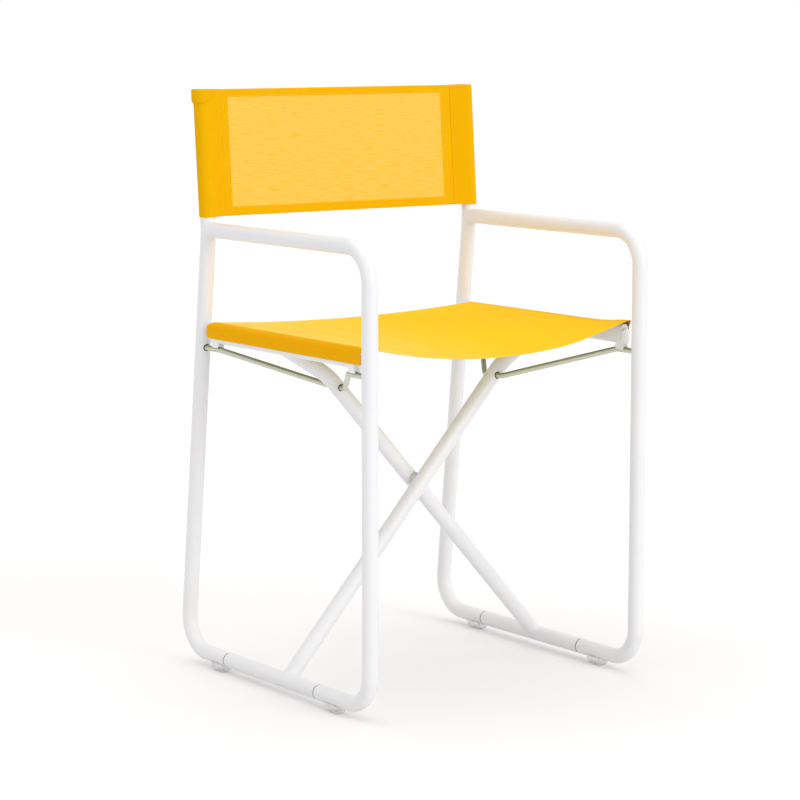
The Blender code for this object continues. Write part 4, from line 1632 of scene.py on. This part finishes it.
    def build(self) -> None:
        """Builds the sheet: the middle surface moved half its thickness both ways, with a round edge."""
        grid, flat, mark = self.grid()
        rows, columns = (np.minimum(np.arange(n), np.arange(n)[::-1]) for n in grid.shape[:2])
        border = np.minimum(np.minimum.outer(rows, columns), len(self.edge_t) - 1)
        half = self.thickness / 2 * np.array(self.edge_t)[border][..., None]
        normal = sheet_normals(grid)
        skin = Skin()
        # The edge takes the underside's finish, so that its doubled colour paints shade along the flaps'
        # edges
        skin.shell(grid - half * normal, grid + half * normal, flat, mark, reverse=1)
        obj = skin.build("seat_cloth", [Paint.SEAT, Paint.REVERSE])
        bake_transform(obj)
        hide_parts("seat_panel", "left_seat_sleeve", "right_seat_sleeve")


@dataclass
class Backrest:
    """The backrest: a cloth pocket over each back post, and the panel stretched between them."""

    layout: Layout
    low_z: float = 0.653
    top_z: float = 0.832
    border: float = 0.0275
    strip: dict[Side, float] = field(default_factory=lambda: {Side.LEFT: 0.0150, Side.RIGHT: 0.0185})
    hem: float = 0.0112
    low_hem: float = 0.0130
    thickness: float = 0.0009
    # The pockets
    loose: float = 0.0007
    seam_half: float = 0.0008
    cap_h: float = 0.0075
    cap_out: float = 0.0024
    # Distances past the post between which the cap sets in, and heights of its step
    cap_span: tuple[float, float] = (-0.020, 0.009)
    cap_step: tuple[float, float] = (-0.0004, 0.0006)
    roof_r: float = 0.0016
    roof_shut: float = 0.02
    # Rows at the open lower end: heights, and shares of the thickness
    lip_at: tuple[float, ...] = (0.0, 0.0003, 0.0008)
    lip_t: tuple[float, ...] = (0.4, 0.8)
    first_row: float = 0.002
    pocket_rows: int = 70
    roof_steps: int = 7
    shut_steps: int = 6
    post_steps: int = 45
    side_steps: int = 13
    # Column of the grid along which a pocket's height is measured
    tape: int = 30
    # The panel
    # Rows at the rim: heights, the heights between which it thickens, and its least share
    rim_at: tuple[float, ...] = (0.0, 0.0002, 0.0006, 0.0014)
    rim_span: tuple[float, float] = (-0.0002, 0.0009)
    rim_t: float = 0.35
    # Places about the edge of a doubled part, half its step, and the second layer's share
    fold_at: tuple[float, ...] = (-0.0006, -0.0003, 0.0, 0.0003, 0.0006)
    fold_half: float = 0.0004
    fold_t: float = 0.75
    # Length inside a pocket over which the second layer ends
    flatten: float = 0.002
    rows_in: float = 0.0025
    columns_in: float = 0.001
    panel_rows: int = 60
    panel_columns: int = 120
    tuck: float = 0.008
    tuck_steps: int = 5
    tail_low: float = 0.001
    tail_top: float = 0.0160
    # Share of its width that the folded panel keeps, and the lean of the squash
    keep: float = 0.4825
    squash_lean: float = math.radians(5.5)
    # The stitches
    stitch: Stitch = Stitch()
    row_end: float = 0.002
    seam_row: float = 0.0012
    seam_off: float = 0.0013
    strip_rows: tuple[float, ...] = (0.0014, 0.0085)
    hem_row: float = 0.0016
    hem_aside: float = 0.001
    panel_off: float = 0.0008

    @property
    def seam(self) -> float:
        """X of the right seam between the panel and a pocket."""
        return self.layout.half_w - self.border

    @property
    def inner(self) -> dict[Side, float]:
        """X at which the doubled strip beside each seam ends."""
        return {side: side.value * (self.seam - self.strip[side]) for side in Side}

    def sew(self, skin: Skin, ends: list[tuple[float, float]], off: float) -> None:
        """Adds a row of stitches beside the posts' plane.

        Args:
            skin: The mesh to add to.
            ends: X and Z of the row's two ends.
            off: How far the row lies off that plane, with the sign of the side on which it shows.
        """
        start, stop = (np.array([x, self.layout.post_y(z) + off, z]) for x, z in ends)
        skin.tubes(self.stitch.row(start, stop, math.copysign(1, off) * Y_AXIS), paint=1)

    def pocket_loop(self) -> tuple[Array, Array]:
        """Works out a pocket's line about its post: straight from the seam to the round, about it, and back.

        The first axis points from the post towards the panel, and the second towards the front.

        Returns:
            The points, and unit normals out of the pocket.
        """
        r = self.layout.tube_r + self.loose
        slope = math.acos((r - self.seam_half) / self.border)
        arc = np.linspace(slope, 2 * math.pi - slope, self.post_steps)
        body = merge(r * np.cos(arc), r * np.sin(arc))
        tips = merge(self.border, np.array([1, -1]) * self.seam_half)
        share = np.linspace(0, 1, self.side_steps)[:, None]
        loop = np.concatenate([tips[0] + (body[0] - tips[0]) * share[:-1], body,
                               body[-1] + (tips[1] - body[-1]) * share[1:]])
        normal = unit(np.gradient(loop, axis=0))[:, ::-1] * (1, -1)
        return loop, normal * np.sign((normal * loop).sum(1).mean())

    def pocket_grid(self, side: Side) -> tuple[Array, Array]:
        """Works out a pocket's middle surface: its line carried up the post.

        The top is drawn in by a quarter round and closed over the post. A folded cap stands out a little
        round the top of the left pocket.

        Args:
            side: The side of the chair.

        Returns:
            The points and their places on the flat cloth.
        """
        lay = self.layout
        loop, normal = self.pocket_loop()
        quarter = np.linspace(0, math.pi / 2, self.roof_steps)[1:]
        shut = np.linspace(1, self.roof_shut, self.shut_steps)[1:]
        shoulder = self.top_z - self.low_z - self.roof_r
        rise = np.concatenate([self.lip_at, np.linspace(self.first_row, shoulder, self.pocket_rows)])
        z = self.low_z + np.concatenate([rise, shoulder + self.roof_r * np.sin(quarter),
                                         np.full(len(shut), shoulder + self.roof_r)])
        inset = self.roof_r * np.concatenate([np.zeros(len(rise)), 1 - np.cos(quarter), np.ones(len(shut))])
        close = np.concatenate([np.ones(len(rise) + len(quarter)), shut])
        outer = smooth(-loop[:, 0], *self.cap_span)
        step_z = self.top_z - self.hem - self.cap_h * outer
        cap = self.cap_out * smooth(z[:, None] - step_z, *self.cap_step) * outer * (side is Side.LEFT)
        section = loop[None] + (cap - inset[:, None])[..., None] * normal
        section = section * merge(1.0, close)[:, None]
        grid = merge(side.value * (lay.half_w - section[..., 0]), lay.post_y(z)[:, None] - section[..., 1],
                     z[:, None])
        return grid, merge(lengths(loop), lengths(grid[:, self.tape])[:, None])

    def pocket(self, side: Side) -> None:
        """Builds a pocket with the rows of stitches that close it at its seam, one on each face.

        Args:
            side: The side of the chair.
        """
        grid, flat = self.pocket_grid(side)
        half = np.full((*grid.shape[:2], 1), self.thickness / 2)
        half[:len(self.lip_t)] *= np.array(self.lip_t)[:, None, None]
        normal = sheet_normals(grid)
        skin = Skin()
        skin.shell(grid + half * normal, grid - half * normal, flat, np.ones(grid.shape[:2]))
        x = side.value * (self.seam + self.seam_row)
        ends = [(x, self.low_z + self.row_end), (x, self.top_z - self.row_end)]
        for way in (-1, 1):
            self.sew(skin, ends, way * self.seam_off)
        obj = skin.build(f"{side.word}_backrest_pocket", [Paint.CLOTH, Paint.THREAD])
        settle(obj, side.frame_body, "cloth_border", f"{side.word}_backrest_sleeve")

    def panel_places(self) -> tuple[Array, Array]:
        """Lays the panel's points out, closer together at its rim and at the edges of its doubled parts.

        The sheet runs on a little into both pockets, further at the top of the right one, so that its edges
        stay covered as the chair folds.

        Returns:
            X and Z of each point of the grid.
        """
        height, first = self.top_z - self.low_z, self.seam - self.columns_in
        rim, fold = np.array(self.rim_at), np.array(self.fold_at)
        rows = np.linspace(self.rows_in, height - self.rows_in, self.panel_rows)
        hems = [self.low_hem + fold, height - self.hem + fold]
        z = np.unique(np.concatenate([rim, height - rim, *hems, rows]))
        u = np.unique(np.concatenate([*(place + fold for place in self.inner.values()),
                                      np.linspace(-first, first, self.panel_columns)]))
        tail = self.tail_low + (self.tail_top - self.tail_low) * z / height
        ends = np.linspace(0, 1, self.tuck_steps)[1:]
        left = np.broadcast_to(-first - self.tuck * ends[::-1], (len(z), len(ends)))
        right = first + (tail[:, None] + self.columns_in) * ends
        x = np.concatenate([left, np.broadcast_to(u, (len(z), len(u))), right], 1)
        return x, np.broadcast_to(self.low_z + z[:, None], x.shape)

    def panel_stitches(self, skin: Skin) -> None:
        """Sews the panel's strips and hems on both faces.

        Args:
            skin: The mesh to add to.
        """
        low, top = self.low_z + self.row_end, self.top_z - self.row_end
        strips = [[(x + side.value * aside, z) for z in (low, top)]
                  for side, x in self.inner.items() for aside in self.strip_rows]
        hems = [[(x + self.hem_aside, z) for x in self.inner.values()]
                for z in (self.low_z + self.low_hem - self.hem_row, self.top_z - self.hem + self.hem_row)]
        for ends in strips + hems:
            for way in (-1, 1):
                self.sew(skin, ends, way * self.panel_off)

    def panel(self) -> None:
        """Builds the panel: a flat sheet in the posts' plane, doubled along its hems and beside the seams.

        Its two faces lie at y = post(z) -+ h, where h steps up from one layer to two.
        """
        x, z = self.panel_places()
        past = np.stack([self.inner[Side.LEFT] - x, x - self.inner[Side.RIGHT],
                         self.low_z + self.low_hem - z, z - self.top_z + self.hem])
        doubled = smooth(past.max(0), -self.fold_half, self.fold_half)
        inside = np.clip((np.abs(x) - self.seam) / self.flatten, 0, 1)
        rim = smooth(np.minimum(z - self.low_z, self.top_z - z), *self.rim_span)
        layers = 1 + self.fold_t * doubled * (1 - inside)
        half = self.thickness / 2 * layers * (self.rim_t + (1 - self.rim_t) * rim)
        upper, lower = (merge(x, self.layout.post_y(z) + way * half, z) for way in (-1, 1))
        skin = Skin()
        skin.shell(upper, lower, merge(x, z), doubled)
        self.panel_stitches(skin)
        obj = skin.build("backrest_cloth", [Paint.CLOTH, Paint.THREAD])
        settle(obj, "left_frame", "cloth", "backrest_panel")
        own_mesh(obj)

    def build(self) -> None:
        """Builds both pockets and the panel."""
        for side in Side:
            self.pocket(side)
        self.panel()


# Studio


def shown_rays(tree: Tree) -> Socket:
    """Marks rays from the camera, from reflections and through clear pieces, to which the room shows white.

    Args:
        tree: The nodes of the world or the floor.

    Returns:
        1 for such a ray, 0 for one that only carries light.
    """
    path = add_node(tree, "ShaderNodeLightPath").outputs
    seen = add_node(tree, "ShaderNodeMath", {0: path["Is Camera Ray"], 1: path["Is Glossy Ray"]},
                    operation="MAXIMUM").outputs[0]
    return add_node(tree, "ShaderNodeMath", {0: seen, 1: path["Is Transmission Ray"]},
                    operation="MAXIMUM").outputs[0]


@dataclass(frozen=True)
class Lamp:
    """A wide soft light far away: where it comes from, how wide it looks and how strong it is in W/m2."""

    name: str
    source: tuple[float, float, float]
    spread_deg: float
    strength: float

    def build(self) -> None:
        """Adds the lamp, turned from its source to the origin."""
        light = bpy.data.lights.new(self.name, "SUN")
        light.angle, light.energy = math.radians(self.spread_deg), self.strength
        obj = put(self.name, light)
        obj.location = self.source
        obj.rotation_euler = (-Vector(self.source)).to_track_quat("-Z", "Y").to_euler()


@dataclass
class Studio:
    """White room: pale floor, even light from all round, soft lamps and the photograph's camera."""

    eye: tuple[float, float, float] = (-2.238, -3.052, 0.933)
    turn_deg: float = -36.03
    dip_deg: float = 8.15
    lens: float = 120.33
    sensor: float = 36.0
    ambient: float = 0.69
    floor_half: float = 9.0
    floor_colour: str = "#EDECEC"
    floor_glow: float = 0.13
    lamps: tuple[Lamp, ...] = (
        Lamp("key_softbox", (0.9, -3.4, 1.35), 40.0, 0.98),
        Lamp("top_softbox", (-0.3, 0.3, 3.2), 70.0, 0.85),
        Lamp("fill_softbox", (-3.0, -2.0, 1.6), 60.0, 0.10),
    )

    def camera(self) -> None:
        """Adds the camera: its turn about Z and its dip give the back vector; its right vector is level."""
        turn, dip = math.radians(self.turn_deg), math.radians(self.dip_deg)
        back = Vector((math.sin(turn) * math.cos(dip), -math.cos(turn) * math.cos(dip), math.sin(dip)))
        right = Vector((0, 0, 1)).cross(back).normalized()
        stance = Matrix((right, back.cross(right), back)).transposed()
        data = bpy.data.cameras.new("camera")
        data.lens, data.sensor_width, data.sensor_fit = self.lens, self.sensor, "HORIZONTAL"
        obj = put("camera", data)
        obj.matrix_world = Matrix.Translation(self.eye) @ stance.to_4x4()
        bpy.context.scene.camera = obj

    def world(self) -> None:
        """Lights the room evenly, and shows it white to the rays that are seen."""
        world = bpy.data.worlds.new("white_room")
        world.use_nodes = True
        tree = world.node_tree
        tree.nodes.clear()
        strength = add_node(tree, "ShaderNodeMapRange",
                            {"Value": shown_rays(tree), "To Min": self.ambient, "To Max": 1.0}).outputs[0]
        light = add_node(tree, "ShaderNodeBackground",
                         {"Color": (1, 1, 1, 1), "Strength": strength}).outputs[0]
        add_node(tree, "ShaderNodeOutputWorld", {"Surface": light})
        bpy.context.scene.world = world

    def floor(self) -> None:
        """Adds the floor: a pale sheet that keeps the chair's shadow, with a faint glow where it is seen."""
        paint = bpy.data.materials.new("pale_studio_floor")
        paint.use_nodes = True
        tree = paint.node_tree
        tree.nodes.clear()
        glow = add_node(tree, "ShaderNodeMath", {0: shown_rays(tree), 1: self.floor_glow},
                        operation="MULTIPLY").outputs[0]
        matt = add_node(tree, "ShaderNodeBsdfDiffuse", {"Color": linear(self.floor_colour)}).outputs[0]
        lit = add_node(tree, "ShaderNodeEmission", {"Strength": glow}).outputs[0]
        both = add_node(tree, "ShaderNodeAddShader", {0: matt, 1: lit}).outputs[0]
        add_node(tree, "ShaderNodeOutputMaterial", {"Surface": both})
        mesh = bpy.data.meshes.new("floor")
        corners = self.floor_half * np.array([(-1, -1, 0), (1, -1, 0), (1, 1, 0), (-1, 1, 0)], float)
        mesh.from_pydata(corners.tolist(), [], [(0, 1, 2, 3)])
        mesh.materials.append(paint)
        put("floor", mesh)

    def build(self) -> None:
        """Sets the room up."""
        bpy.context.scene.view_settings.view_transform = "Standard"
        self.camera()
        self.world()
        self.floor()
        for lamp in self.lamps:
            lamp.build()


def main() -> None:
    """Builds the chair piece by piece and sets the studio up."""
    logging.basicConfig(level=logging.INFO, format="%(name)s: %(message)s")
    layout = Layout()
    Studio().build()
    for side in Side:
        SideFrame(layout, side).build()
        SeatRail(layout, side).build()
    CrossedLeg(layout, Side.RIGHT, layout.leg_front_y, "front_leg").build()
    CrossedLeg(layout, Side.LEFT, layout.leg_rear_y, "rear_leg").build()
    LinkRod(layout, Side.LEFT, layout.leg_rear_y).build()
    LinkRod(layout, Side.RIGHT, layout.leg_front_y).build()
    Crossing(layout).build()
    Seat(layout).build()
    Backrest(layout).build()


if __name__ == "__main__":
    main()
